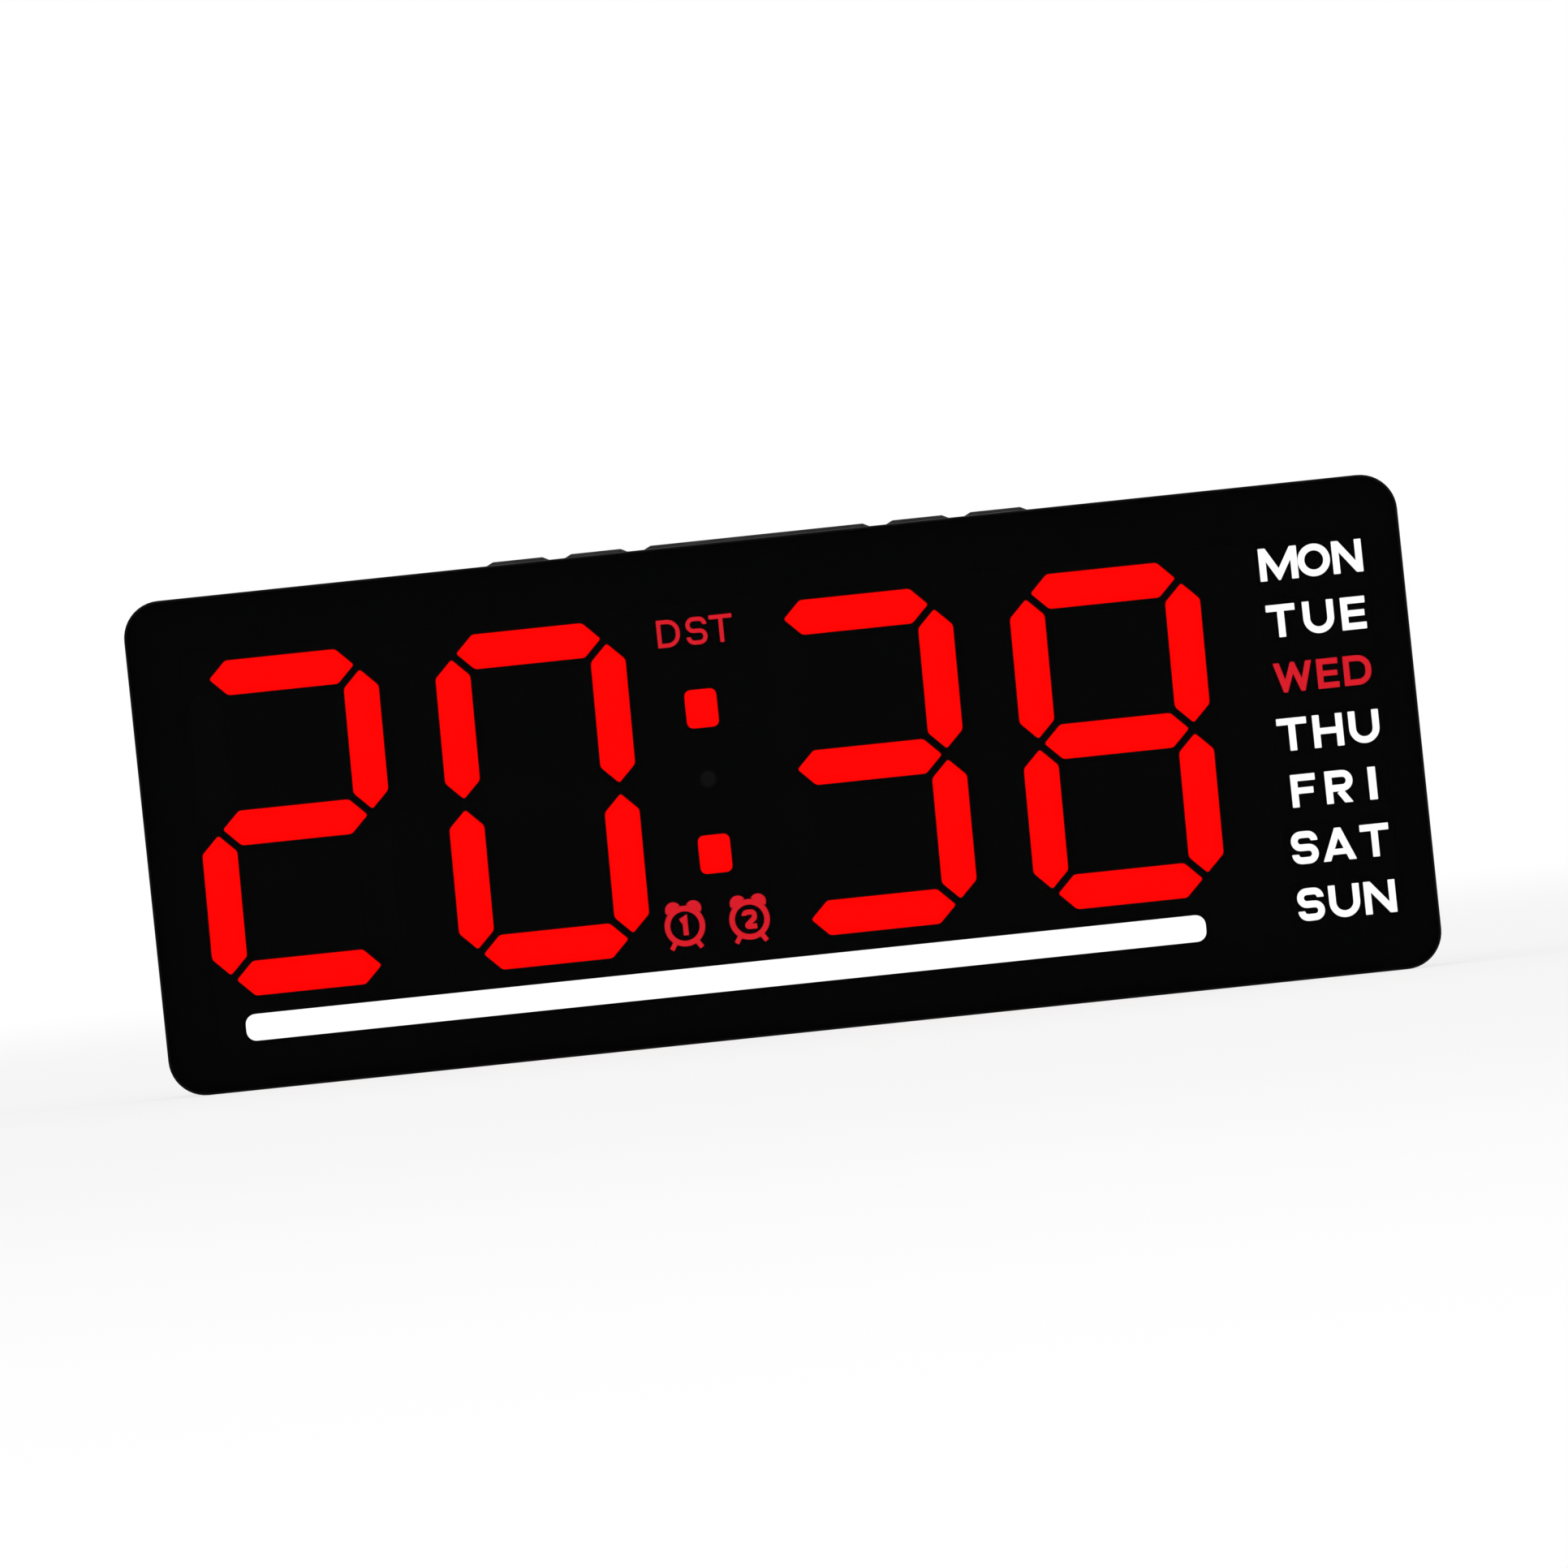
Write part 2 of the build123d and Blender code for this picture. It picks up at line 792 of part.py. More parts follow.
def make_tact_switches():
    """The bodies of the push switches, with a well for each plunger."""
    bodies = []
    for x, width in key_places.values():
        place = Pos(x, key_y, button_board_top)
        body = extrude(place * Rectangle(switch_side, switch_side), amount=switch_height)
        depth = plunger_sink + key_travel + plunger_room
        well = Pos(x, key_y, switch_top - depth) * Circle(plunger_radius + plunger_fit)
        bodies.append(body - extrude(well, amount=depth))
    return bodies


def make_plunger(x):
    """The plunger of one push switch, up against its key."""
    outline = Pos(x, key_y, switch_top - plunger_sink) * Circle(plunger_radius)
    return extrude(outline, amount=plunger_sink + plunger_rise)


def make_key(x, width):
    """A key cap with a sloped border and the flange that keeps it in the case."""
    top = case_height + key_proud
    slope_foot = top - key_slope_height
    stem = Pos(0, 0, flange_top) * key_outline(x, width, 0)
    border = Pos(0, 0, slope_foot) * key_outline(x, width, 0)
    crown = Pos(0, 0, top) * key_outline(x, width, -key_slope_run)
    cap = extrude(stem, amount=slope_foot - flange_top)
    cap += loft([border.face(), crown.face()], ruled=True)
    foot = Pos(0, 0, flange_bottom) * key_outline(x, width, key_flange)
    return cap + extrude(foot, amount=key_flange_thickness)


def make_rear_cover():
    """The case's back half: walls, lip, screw wells, keyholes, leg pockets and cell bay."""
    body = slab(case_outline(0), split, back)
    body = fillet(body.faces().sort_by(Axis.Y)[-1].edges(), back_edge_round)
    body = chamfer(body.faces().sort_by(Axis.Y)[0].edges(), seam_chamfer)
    body -= slab(case_outline(wall), split, cover_inside)
    body += cover_lip()
    for x, z in cover_screw_places():
        body += boss_to_wall(x, z, cover_boss_radius, split, cover_inside)
    for side in (-1, 1):
        body += leg_pocket_walls(side)
        body += keyhole_cup(side)
    body += bay_walls()
    body += inlet_shelves()
    cuts = cover_screw_wells() + grille_slots() + bay_cuts()
    for side in (-1, 1):
        cuts += leg_pocket_cuts(side)
        cuts += keyhole_cuts(side)
    opening = SlotOverall(inlet_width + 2 * inlet_fit, inlet_height + 2 * inlet_fit)
    cuts.append(slab(Pos(inlet_x, inlet_z()) * opening, cover_inside, back))
    return body - cuts


def cover_lip():
    """The locating lip that enters the front housing, cut away at its bosses and rails."""
    inset = wall + lip_gap
    lip = case_outline(inset) - case_outline(inset + lip_thickness)
    root = case_outline(wall) - case_outline(inset + lip_thickness)
    ring = slab(lip, split - lip_height, split) + slab(root, split, split + lip_root)
    radius = boss_radius + lip_clearance
    for x, z in cover_screw_places():
        wall_z = roof if z > case_height / 2 else wall
        lip_ys = (split - lip_height, split)
        ring -= rod(x, z, radius, *lip_ys) + block((x - radius, x + radius), lip_ys, (z, wall_z))
    reach = button_board_length / 2 + rail_thickness + lip_clearance
    return ring - block((-reach, reach), (split - lip_height, split), (top_boss_z, roof))


def cover_screw_wells():
    """Deep round wells for the heads of the cover screws, and their through holes."""
    floor = back - cover_screw_floor
    cuts = []
    for x, z in cover_screw_places():
        cuts.append(rod(x, z, screw_head_radius + screw_head_room, floor, back))
        cuts.append(rod(x, z, screw_radius + screw_bore_room, split, floor))
    return cuts


def leg_pocket_walls(side):
    """The moulded box round one leg pocket."""
    reach = leg_width / 2 + leg_gap + leg_side_wall
    xs = (side * leg_x - reach, side * leg_x + reach)
    box = block(xs, (leg_pocket_floor - pocket_wall, back), (0, leg_pocket_top + pocket_wall))
    return box & slab(case_outline(wall / 2), split, cover_inside + wall / 2)


def leg_pocket_cuts(side):
    """The space of one folded leg, the bores for its trunnions and the notch for a finger."""
    reach = leg_width / 2 + leg_gap
    xs = (side * leg_x - reach, side * leg_x + reach)
    space = block(xs, (leg_pocket_floor, back), (0, leg_pocket_top))
    bore_reach = reach + leg_side_wall
    bore_place = Plane(origin=(side * leg_x - bore_reach, hinge_y, hinge_z), z_dir=(1, 0, 0))
    bore = extrude(bore_place * Circle(trunnion_radius + trunnion_fit), amount=2 * bore_reach)
    notch = rod(side * leg_x, leg_pocket_top, notch_radius, back - notch_depth, back)
    return [space, bore, notch]


def keyhole_outline(side, radius):
    """A slot shape of the keyhole's travel."""
    travel = SlotCenterToCenter(keyhole_rise, 2 * radius, rotation=90)
    return Pos(side * keyhole_spacing / 2, keyhole_z + keyhole_rise / 2) * travel


def keyhole_cup(side):
    """The closed cup behind one keyhole."""
    outer = keyhole_outline(side, keyhole_pocket + pocket_wall)
    return slab(outer, cover_inside - keyhole_depth - pocket_wall, cover_inside)


def keyhole_cuts(side):
    """The room for a screw head, the round entry and the neck of one keyhole."""
    room = slab(keyhole_outline(side, keyhole_pocket), cover_inside - keyhole_depth, cover_inside)
    neck = slab(keyhole_outline(side, keyhole_neck), cover_inside, back)
    entry = rod(side * keyhole_spacing / 2, keyhole_z, keyhole_entry, cover_inside, back)
    return [room, neck, entry]


def grille_slots():
    """Upright sound slots that fill a circle behind the buzzer."""
    count = int(grille_radius / grille_pitch)
    slots = []
    for i in range(-count, count + 1):
        offset = i * grille_pitch
        length = 2 * sqrt(grille_radius**2 - offset**2)
        shape = SlotOverall(max(length, 2 * grille_slot), grille_slot, rotation=90)
        slots.append(slab(Pos(buzzer_x + offset, buzzer_z) * shape, cover_inside, back))
    return slots


def door_outline(grow):
    """The cell door seen from the front, made larger by grow on each side."""
    height = door_top - door_bottom
    shape = RectangleRounded(door_width + 2 * grow, height + 2 * grow, door_corner + grow)
    return Pos(cell_x, (door_top + door_bottom) / 2) * shape


def bay_walls():
    """The round cell well, the ledge under the door and the boss of its screw."""
    well = rod(cell_x, cell_z, cell_radius + cell_gap + bay_wall, bay_front, cover_inside)
    ledge = slab(door_outline(door_gap + bay_wall), door_inside - door_ledge, cover_inside)
    screw_front = door_inside - door_screw_length - screw_pilot_spare
    boss = rod(cell_x, door_screw_z, boss_radius + bay_wall, screw_front, cover_inside)
    return well + ledge + boss


def bay_cuts():
    """The door recess, the cell's space, the screw's pilot and the slots of the contacts."""
    recess = slab(door_outline(door_gap), door_inside, back)
    space = rod(cell_x, cell_z, cell_radius + cell_gap, cell_front, door_inside)
    screw_tip = door_inside - door_screw_length
    pilot = rod(cell_x, door_screw_z, boss_hole, screw_tip, door_inside)
    half = contact_width / 2 + contact_slot_room
    zs = (cell_z - half, cell_z + half)
    low_x = cell_x - contact_reach / 2
    low_xs = (low_x - contact_slot_room, low_x + contact_thickness + contact_slot_room)
    low_slot = block(low_xs, (bay_front, cell_front), zs)
    side_x = cell_x + cell_radius
    side_xs = (side_x, side_x + cell_gap + contact_thickness + contact_slot_room)
    side_slot = block(side_xs, (bay_front, door_inside), zs)
    return [recess, space, pilot, low_slot, side_slot]


def make_cell_contacts():
    """Two spring strips from the lamp board to the cell's face and to its edge."""
    zs = (cell_z - contact_width / 2, cell_z + contact_width / 2)
    low_x = cell_x - contact_reach / 2
    stem = block((low_x, low_x + contact_thickness), (board_back, cell_front), zs)
    tab_y = (cell_front, cell_front + contact_thickness)
    tab = block((low_x, low_x + contact_reach), tab_y, zs)
    side_x = cell_x + cell_radius + contact_slot_room / 2
    side_xs = (side_x, side_x + contact_thickness)
    side_strip = block(side_xs, (board_back, cell_front + cell_thickness), zs)
    return [stem + tab, side_strip]


def make_backup_cell():
    """The coin cell, with its stepped smaller pole towards the front."""
    seat = cell_front + contact_thickness
    can = rod(cell_x, cell_z, cell_radius, seat + cell_step, door_inside)
    pole = rod(cell_x, cell_z, cell_radius - cell_rim, seat, seat + cell_step)
    return can + pole


def make_cell_door():
    """The flush door over the cell, with the recessed seat of its screw."""
    door = slab(door_outline(0), door_inside, back)
    seat = back - door_recess
    head = rod(cell_x, door_screw_z, screw_head_radius + screw_head_room, seat, back)
    hole = rod(cell_x, door_screw_z, screw_radius + screw_bore_room, door_inside, seat)
    return door - [head, hole]


def make_door_screw():
    """The captive screw of the cell door."""
    seat = back - door_recess
    shank = rod(cell_x, door_screw_z, screw_radius, seat - door_screw_length, seat)
    return shank + rod(cell_x, door_screw_z, screw_head_radius, seat, back)


def inlet_z():
    """Height of the middle of the power inlet, which stands on its board."""
    return inlet_board_z + board_thickness + inlet_height / 2


def inlet_shelves():
    """Two ribs on the bottom wall that carry the inlet board."""
    shelves = []
    for side in (-1, 1):
        outer = inlet_x + side * (inlet_board_width / 2 - shelf_inset)
        xs = (outer, outer - side * shelf_thickness)
        shelves.append(block(xs, (split + shelf_start, cover_inside), (wall, inlet_board_z)))
    return shelves


def make_inlet_board():
    """The small level board that carries the power inlet."""
    half = inlet_board_width / 2
    ys = (board_back, cover_inside - inlet_board_gap)
    zs = (inlet_board_z, inlet_board_z + board_thickness)
    return block((inlet_x - half, inlet_x + half), ys, zs)


def make_power_inlet():
    """The steel shell of the oval inlet, open to the back."""
    place = Pos(inlet_x, inlet_z())
    outer = SlotOverall(inlet_width, inlet_height)
    inner = SlotOverall(inlet_width - 2 * inlet_shell, inlet_height - 2 * inlet_shell)
    return slab(place * (outer - inner), back - inlet_length, back)


def make_inlet_tongue():
    """The insulator at the bottom of the inlet and the tongue that stands on it."""
    place = Pos(inlet_x, inlet_z())
    plug = SlotOverall(inlet_width - 2 * inlet_shell, inlet_height - 2 * inlet_shell)
    y_front = back - inlet_length
    y_plug = back - inlet_shell - tongue_length
    tongue = slab(place * Rectangle(tongue_width, tongue_thickness), y_plug, back - inlet_shell)
    return slab(place * plug, y_front, y_plug) + tongue


def make_leg(side):
    """One fold-out leg, lying on the desk behind the clock, with its trunnions."""
    x = side * leg_x
    tip_y = hinge_y + leg_length
    points = (
        (hinge_y, 0),
        (tip_y, 0),
        (tip_y, leg_tip_thickness),
        (hinge_y, 2 * hinge_inset),
    )
    side_plane = Plane(origin=(x - leg_width / 2, 0, 0), x_dir=(0, 1, 0), z_dir=(1, 0, 0))
    profile = make_face(Polyline(*points, close=True))
    blade = extrude(side_plane * profile, amount=leg_width)
    tip_edges = blade.edges().filter_by(Axis.Z).sort_by(Axis.Y)[-2:]
    blade = fillet(tip_edges, leg_tip_corner)
    blade = fillet(blade.faces().sort_by(Axis.Y)[-1].edges().sort_by(Axis.Z)[-1], leg_edge_round)
    knuckle_face = Pos(hinge_y, hinge_z) * Circle(hinge_inset)
    knuckle = extrude(side_plane * knuckle_face, amount=leg_width)
    pin_half = leg_width / 2 + leg_gap + trunnion_length
    pin_plane = Plane(origin=(x - pin_half, 0, 0), x_dir=(0, 1, 0), z_dir=(1, 0, 0))
    pin_face = Pos(hinge_y, hinge_z) * Circle(trunnion_radius)
    pins = extrude(pin_plane * pin_face, amount=2 * pin_half)
    return blade + knuckle + pins - [leg_relief(x), pad_block(x, pad_fit)]


def leg_relief(x):
    """The shallow recess in the upper face of a leg, which follows its slope."""
    slope_run = leg_length
    slope_fall = 2 * hinge_inset - leg_tip_thickness
    length = leg_length - 2 * leg_tip_corner - leg_relief_margin
    width = leg_width - 2 * leg_relief_margin
    start_y = hinge_y + leg_relief_margin
    start_z = 2 * hinge_inset - slope_fall * leg_relief_margin / slope_run
    direction = Vector(0, slope_run, -slope_fall).normalized()
    upper = Plane(origin=(x, start_y, start_z), x_dir=direction, z_dir=(0, slope_fall, slope_run))
    outline = Pos(length / 2, 0) * RectangleRounded(length, width, leg_relief_margin / 2)
    return extrude(upper * outline, amount=-leg_relief_depth)


def pad_block(x, grow):
    """The rubber pad in the underside of a leg, or the pocket that holds it."""
    middle_y = hinge_y + leg_length - pad_from_tip - pad_length / 2
    shape = RectangleRounded(pad_width + 2 * grow, pad_length + 2 * grow, pad_corner)
    return extrude(Pos(x, middle_y, 0) * shape, amount=pad_thickness)


def build_nodes():
    """Every separate piece of the clock, by name."""
    cover_seat = back - cover_screw_floor
    nodes = {
        "front_lens": make_front_lens(),
        "lens_tape": make_lens_tape(),
        "front_housing": make_front_housing(),
        "digit_reflector": make_digit_reflector(),
        "colon_dots": [
            tile(x, z, colon_width, colon_height, colon_corner) for x, z in colon_places()
        ],
        "indicator_tiles": [tile(*window, tile_corner) for window in indicator_windows()],
        "weekday_tiles": [
            tile(x, z, day_width, day_height, tile_corner) for x, z in day_places()
        ],
        "light_bar": make_light_bar(),
        "led_board": make_led_board(),
        "led_chips": make_led_chips(),
        "controller_chip": make_controller_chip(),
        "driver_chips": make_driver_chips(),
        "crystal": make_crystal(),
        "capacitors": make_capacitors(),
        "buzzer": make_buzzer(),
        "light_sensor": make_light_sensor(),
        "sensor_pipe": make_sensor_pipe(),
        "button_board": make_button_board(),
        "button_header": make_button_header(),
        "tact_switches": make_tact_switches(),
        "inlet_board": make_inlet_board(),
        "power_inlet": make_power_inlet(),
        "inlet_tongue": make_inlet_tongue(),
        "rear_cover": make_rear_cover(),
        "cell_contacts": make_cell_contacts(),
        "backup_cell": make_backup_cell(),
        "cell_door": make_cell_door(),
        "door_screw": make_door_screw(),
        "cover_screws": [
            screw(x, z, cover_seat, cover_screw_length) for x, z in cover_screw_places()
        ],
        "board_screws": [
            screw(x, z, board_back, short_screw_length) for x, z in board_screw_places()
        ],
        "reflector_screws": [
            screw(x, z, lug_seat + lug_thickness, lug_screw_length) for x, z in lug_places()
        ],
    }
    for index, lit in enumerate(lit_segments):
        dark = [letter for letter in segment_places if letter not in lit]
        nodes[f"digit_{index + 1}_lit"] = make_inserts(index, lit)
        if dark:
            nodes[f"digit_{index + 1}_dark"] = make_inserts(index, dark)
    for name, (x, width) in key_places.items():
        cap = "bar" if name == "snooze" else "key"
        nodes[f"{name}_{cap}"] = make_key(x, width)
        nodes[f"{name}_plunger"] = make_plunger(x)
    for name, side in (("left", -1), ("right", 1)):
        nodes[f"{name}_leg"] = make_leg(side)
        nodes[f"{name}_leg_pad"] = pad_block(side * leg_x, 0)
    return nodes


os.makedirs("parts", exist_ok=True)
for node_name, shape in build_nodes().items():
    solids = shape if isinstance(shape, list) else [shape]
    pieces = [solid for item in solids for solid in item.solids()]
    piece = pieces[0] if len(pieces) == 1 else Compound(children=pieces)
    export_step(piece, f"parts/{node_name}.step")
    print(node_name, len(pieces), round(sum(p.volume for p in pieces), 1))
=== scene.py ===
import bmesh
import bpy
from math import cos, pi, radians, sin, tan
from mathutils import Matrix, Vector


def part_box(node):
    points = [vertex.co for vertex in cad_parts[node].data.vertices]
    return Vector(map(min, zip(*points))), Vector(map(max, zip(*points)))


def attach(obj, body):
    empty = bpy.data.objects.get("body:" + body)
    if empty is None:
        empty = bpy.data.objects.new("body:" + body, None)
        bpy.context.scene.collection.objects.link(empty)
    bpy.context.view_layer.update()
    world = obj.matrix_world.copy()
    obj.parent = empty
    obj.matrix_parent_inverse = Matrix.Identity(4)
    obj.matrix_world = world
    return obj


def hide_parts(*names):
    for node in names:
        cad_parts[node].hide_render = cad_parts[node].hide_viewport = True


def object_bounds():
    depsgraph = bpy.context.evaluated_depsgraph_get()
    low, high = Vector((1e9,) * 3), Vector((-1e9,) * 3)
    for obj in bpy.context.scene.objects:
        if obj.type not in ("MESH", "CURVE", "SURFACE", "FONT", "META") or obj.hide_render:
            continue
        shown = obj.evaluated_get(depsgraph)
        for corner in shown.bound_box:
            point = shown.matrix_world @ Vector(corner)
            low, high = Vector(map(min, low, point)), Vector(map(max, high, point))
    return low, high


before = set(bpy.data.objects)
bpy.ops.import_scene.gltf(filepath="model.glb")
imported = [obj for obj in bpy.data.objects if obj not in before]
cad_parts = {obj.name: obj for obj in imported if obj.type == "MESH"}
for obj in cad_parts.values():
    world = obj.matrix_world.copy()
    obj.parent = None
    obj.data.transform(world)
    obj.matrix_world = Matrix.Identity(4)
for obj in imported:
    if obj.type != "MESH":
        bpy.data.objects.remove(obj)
cad_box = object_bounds()

# The front panel is one sheet of smoked acrylic over the whole front of the clock. Its faces
# are polished, so that the dark face shows only what is lit behind it, and its edge is blacked.
mm = 0.001
panel_opacity = 0.35
panel_polish = (0.05, 0.09)
panel_gloss = 0.03
smoke_colour = (0.001, 0.001, 0.001)
edge_colour = (0.003, 0.003, 0.003)
face_on = 0.9
haze_patch = 18 * mm
weld_reach = 0.001 * mm
smooth_below = radians(28)
flat_below = radians(0.5)
soften_above = radians(35)
soft_steps = 2
noise_low = 0.3
noise_high = 0.7


def base_finish(name, colour, roughness, gloss, metallic=0.0):
    """A material whose even values stand on its shader's own sockets."""
    material = bpy.data.materials.new(name)
    material.use_nodes = True
    shader = material.node_tree.nodes["Principled BSDF"]
    shader.inputs["Base Color"].default_value = (*colour, 1.0)
    shader.inputs["Roughness"].default_value = roughness
    shader.inputs["Specular IOR Level"].default_value = gloss
    shader.inputs["Metallic"].default_value = metallic
    return material


def patches(material, size, detail=3.0):
    """A soft noise on the piece itself, with patches of about that size."""
    nodes = material.node_tree.nodes
    place = nodes.new("ShaderNodeTexCoord")
    noise = nodes.new("ShaderNodeTexNoise")
    noise.inputs["Scale"].default_value = 1 / size
    noise.inputs["Detail"].default_value = detail
    material.node_tree.links.new(place.outputs["Object"], noise.inputs["Vector"])
    return noise.outputs["Fac"]


def wander(material, low, high, size):
    """Lets the roughness wander between two limits, over patches of about that size."""
    nodes = material.node_tree.nodes
    spread = nodes.new("ShaderNodeMapRange")
    spread.inputs["From Min"].default_value = noise_low
    spread.inputs["From Max"].default_value = noise_high
    spread.inputs["To Min"].default_value = low
    spread.inputs["To Max"].default_value = high
    links = material.node_tree.links
    links.new(patches(material, size), spread.inputs["Value"])
    links.new(spread.outputs["Result"], nodes["Principled BSDF"].inputs["Roughness"])


def dress(material, *names, softened=0.0):
    """Gives CAD pieces their finish, smooth round faces and, where asked, softened edges."""
    for name in names:
        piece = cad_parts[name]
        for material_slot in piece.material_slots:
            material_slot.material = material
        for face in piece.data.polygons:
            face.use_smooth = True
        weld = piece.modifiers.new("weld", "WELD")
        weld.merge_threshold = weld_reach
        if softened:
            flat = piece.modifiers.new("flat", "DECIMATE")
            flat.decimate_type = "DISSOLVE"
            flat.angle_limit = flat_below
            edges = piece.modifiers.new("edges", "BEVEL")
            edges.width = softened
            edges.segments = soft_steps
            edges.limit_method = "ANGLE"
            edges.angle_limit = soften_above
        crease = piece.modifiers.new("crease", "EDGE_SPLIT")
        crease.split_angle = smooth_below
        if softened:
            piece.modifiers.new("even", "WEIGHTED_NORMAL")


def dress_faces(material, name, chosen):
    """Gives the chosen faces of a dressed CAD piece a second finish."""
    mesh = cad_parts[name].data
    mesh.materials.append(material)
    for face in mesh.polygons:
        if chosen(face):
            face.material_index = 1


smoked_acrylic = base_finish("smoked_acrylic", smoke_colour, roughness=0.07, gloss=panel_gloss)
smoked_acrylic.node_tree.nodes["Principled BSDF"].inputs["Alpha"].default_value = panel_opacity
wander(smoked_acrylic, *panel_polish, haze_patch)
dress(smoked_acrylic, "front_lens")
panel_edge = base_finish("panel_edge", edge_colour, roughness=0.3, gloss=panel_gloss)
wander(panel_edge, 0.2, 0.4, haze_patch)
dress_faces(panel_edge, "front_lens", lambda face: abs(face.normal.y) < face_on)

# The back of the panel has a black printed border, which hides the housing and the tape. The ink
# is thin, lies just in front of the panel's back face and stops short of its edge.
print_colour = (0.002, 0.002, 0.002)
print_depth = 0.02 * mm
print_gap = 0.1 * mm
print_inset = 0.5 * mm
print_corner = 6.5 * mm
window_margin = 0.35 * mm
window_corner = 1.5 * mm
corner_steps = 10


def rounded_frame(low, high, corner):
    """The corner points of an upright rounded rectangle, as a closed line in X and Z."""
    line = []
    for i, (x, z) in enumerate(((high.x, high.z), (low.x, high.z), (low.x, low.z), (high.x, low.z))):
        centre = (x - corner if x == high.x else x + corner, z - corner if z == high.z else z + corner)
        for k in range(corner_steps + 1):
            angle = (i + k / corner_steps) * pi / 2
            line.append((centre[0] + corner * cos(angle), centre[1] + corner * sin(angle)))
    return line


def finish_piece(name, shape, material, body, slot_name, *replaced):
    """Makes an object of a finished bmesh and lets it ride on its body."""
    bmesh.ops.recalc_face_normals(shape, faces=shape.faces)
    mesh = bpy.data.meshes.new(name)
    shape.to_mesh(mesh)
    shape.free()
    mesh.materials.append(material)
    piece = bpy.data.objects.new(name, mesh)
    bpy.context.scene.collection.objects.link(piece)
    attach(piece, body)
    if replaced:
        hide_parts(*replaced)
    return piece


def upright_ring(outer, inner, near, far):
    """A flat ring between two closed lines in X and Z, from one depth to another."""
    shape = bmesh.new()
    for line in (outer, inner):
        verts = [shape.verts.new((x, near, z)) for x, z in line]
        for i, vert in enumerate(verts):
            shape.edges.new((vert, verts[i - 1]))
    bmesh.ops.bridge_loops(shape, edges=shape.edges[:])
    raised = bmesh.ops.extrude_face_region(shape, geom=shape.faces[:])
    moved = [v for v in raised["geom"] if isinstance(v, bmesh.types.BMVert)]
    bmesh.ops.translate(shape, verts=moved, vec=(0, far - near, 0))
    return shape


ink_black = base_finish("ink_black", print_colour, roughness=0.6, gloss=0.0)
wander(ink_black, 0.5, 0.7, haze_patch)
panel_low, panel_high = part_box("front_lens")
marks = [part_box(name) for name in ("digit_1_lit", "digit_1_dark", "weekday_tiles", "light_bar")]
inset = Vector((print_inset, 0, print_inset))
margin = Vector((window_margin, 0, window_margin))
window_low = Vector([min(low[i] for low, high in marks) for i in range(3)]) - margin
window_high = Vector([max(high[i] for low, high in marks) for i in range(3)]) + margin
border = upright_ring(
    rounded_frame(panel_low + inset, panel_high - inset, print_corner),
    rounded_frame(window_low, window_high, window_corner),
    panel_high.y - print_gap - print_depth,
    panel_high.y - print_gap,
)
finish_piece("panel_print", border, ink_black, "clock_case", "smoked_acrylic")

# A frame of thin foam tape, as dull and black as the ink in front of it, holds the panel. Its
# open cells show at its cut edges as a fine pitted grain.
tape_cell = 0.25 * mm
tape_pit = 0.04 * mm


def grain(material, size, depth, detail=2.0):
    """Gives the surface a bump with grains of about that size and depth."""
    nodes = material.node_tree.nodes
    bump = nodes.new("ShaderNodeBump")
    bump.inputs["Distance"].default_value = depth
    links = material.node_tree.links
    links.new(patches(material, size, detail), bump.inputs["Height"])
    links.new(bump.outputs["Normal"], nodes["Principled BSDF"].inputs["Normal"])


foam_tape = base_finish("foam_tape", print_colour, roughness=0.9, gloss=0.0)
grain(foam_tape, tape_cell, tape_pit)
dress(foam_tape, "lens_tape")

# The front housing and the rear cover are moulded in black plastic with a fine eroded grain.
# They meet in a narrow groove round the case and are held by screws from the back.
case_colour = (0.008, 0.008, 0.009)
case_grain = 0.7 * mm
case_grain_depth = 0.1 * mm
case_sheen = (0.42, 0.55)
sheen_patch = 40 * mm

case_black = base_finish("case_black", case_colour, roughness=0.48, gloss=0.3)
wander(case_black, *case_sheen, sheen_patch)
grain(case_black, case_grain, case_grain_depth)
dress(case_black, "front_housing", "rear_cover")

# The reflector is moulded in matt black plastic, so that light stays in its cells and nothing
# of it shows through the dark panel.
reflector_colour = (0.003, 0.003, 0.003)
reflector_grain = 0.3 * mm
reflector_grain_depth = 0.008 * mm

reflector_black = base_finish("reflector_black", reflector_colour, roughness=0.8, gloss=0.0)
grain(reflector_black, reflector_grain, reflector_grain_depth)
dress(reflector_black, "digit_reflector")

# The digits' segments, the two dots and the light bar are frosted diffusers that lie flush in
# the reflector. Lamps behind them light them evenly, and the panel takes part of that light.
through_panel = 1 / (1 - panel_opacity) ** 2
lit_red = (1.0, 0.0, 0.0)
lit_white = (1.0, 1.0, 1.0)
frost_grain = 0.2 * mm
frost_depth = 0.01 * mm
dark_segment = (0.005, 0.004, 0.004)


def lit_finish(name, body_colour, light):
    """A frosted diffuser with lamps behind it, bright enough to be seen through the panel."""
    material = base_finish(name, body_colour, roughness=0.6, gloss=0.0)
    shader = material.node_tree.nodes["Principled BSDF"]
    shader.inputs["Emission Color"].default_value = (*light, 1.0)
    shader.inputs["Emission Strength"].default_value = through_panel
    grain(material, frost_grain, frost_depth)
    return material


segment_lit = lit_finish("segment_lit", (0.4, 0.003, 0.002), lit_red)
segment_unlit = base_finish("segment_unlit", dark_segment, roughness=0.6, gloss=0.0)
grain(segment_unlit, frost_grain, frost_depth)
bar_lit = lit_finish("bar_lit", (0.7, 0.7, 0.7), lit_white)

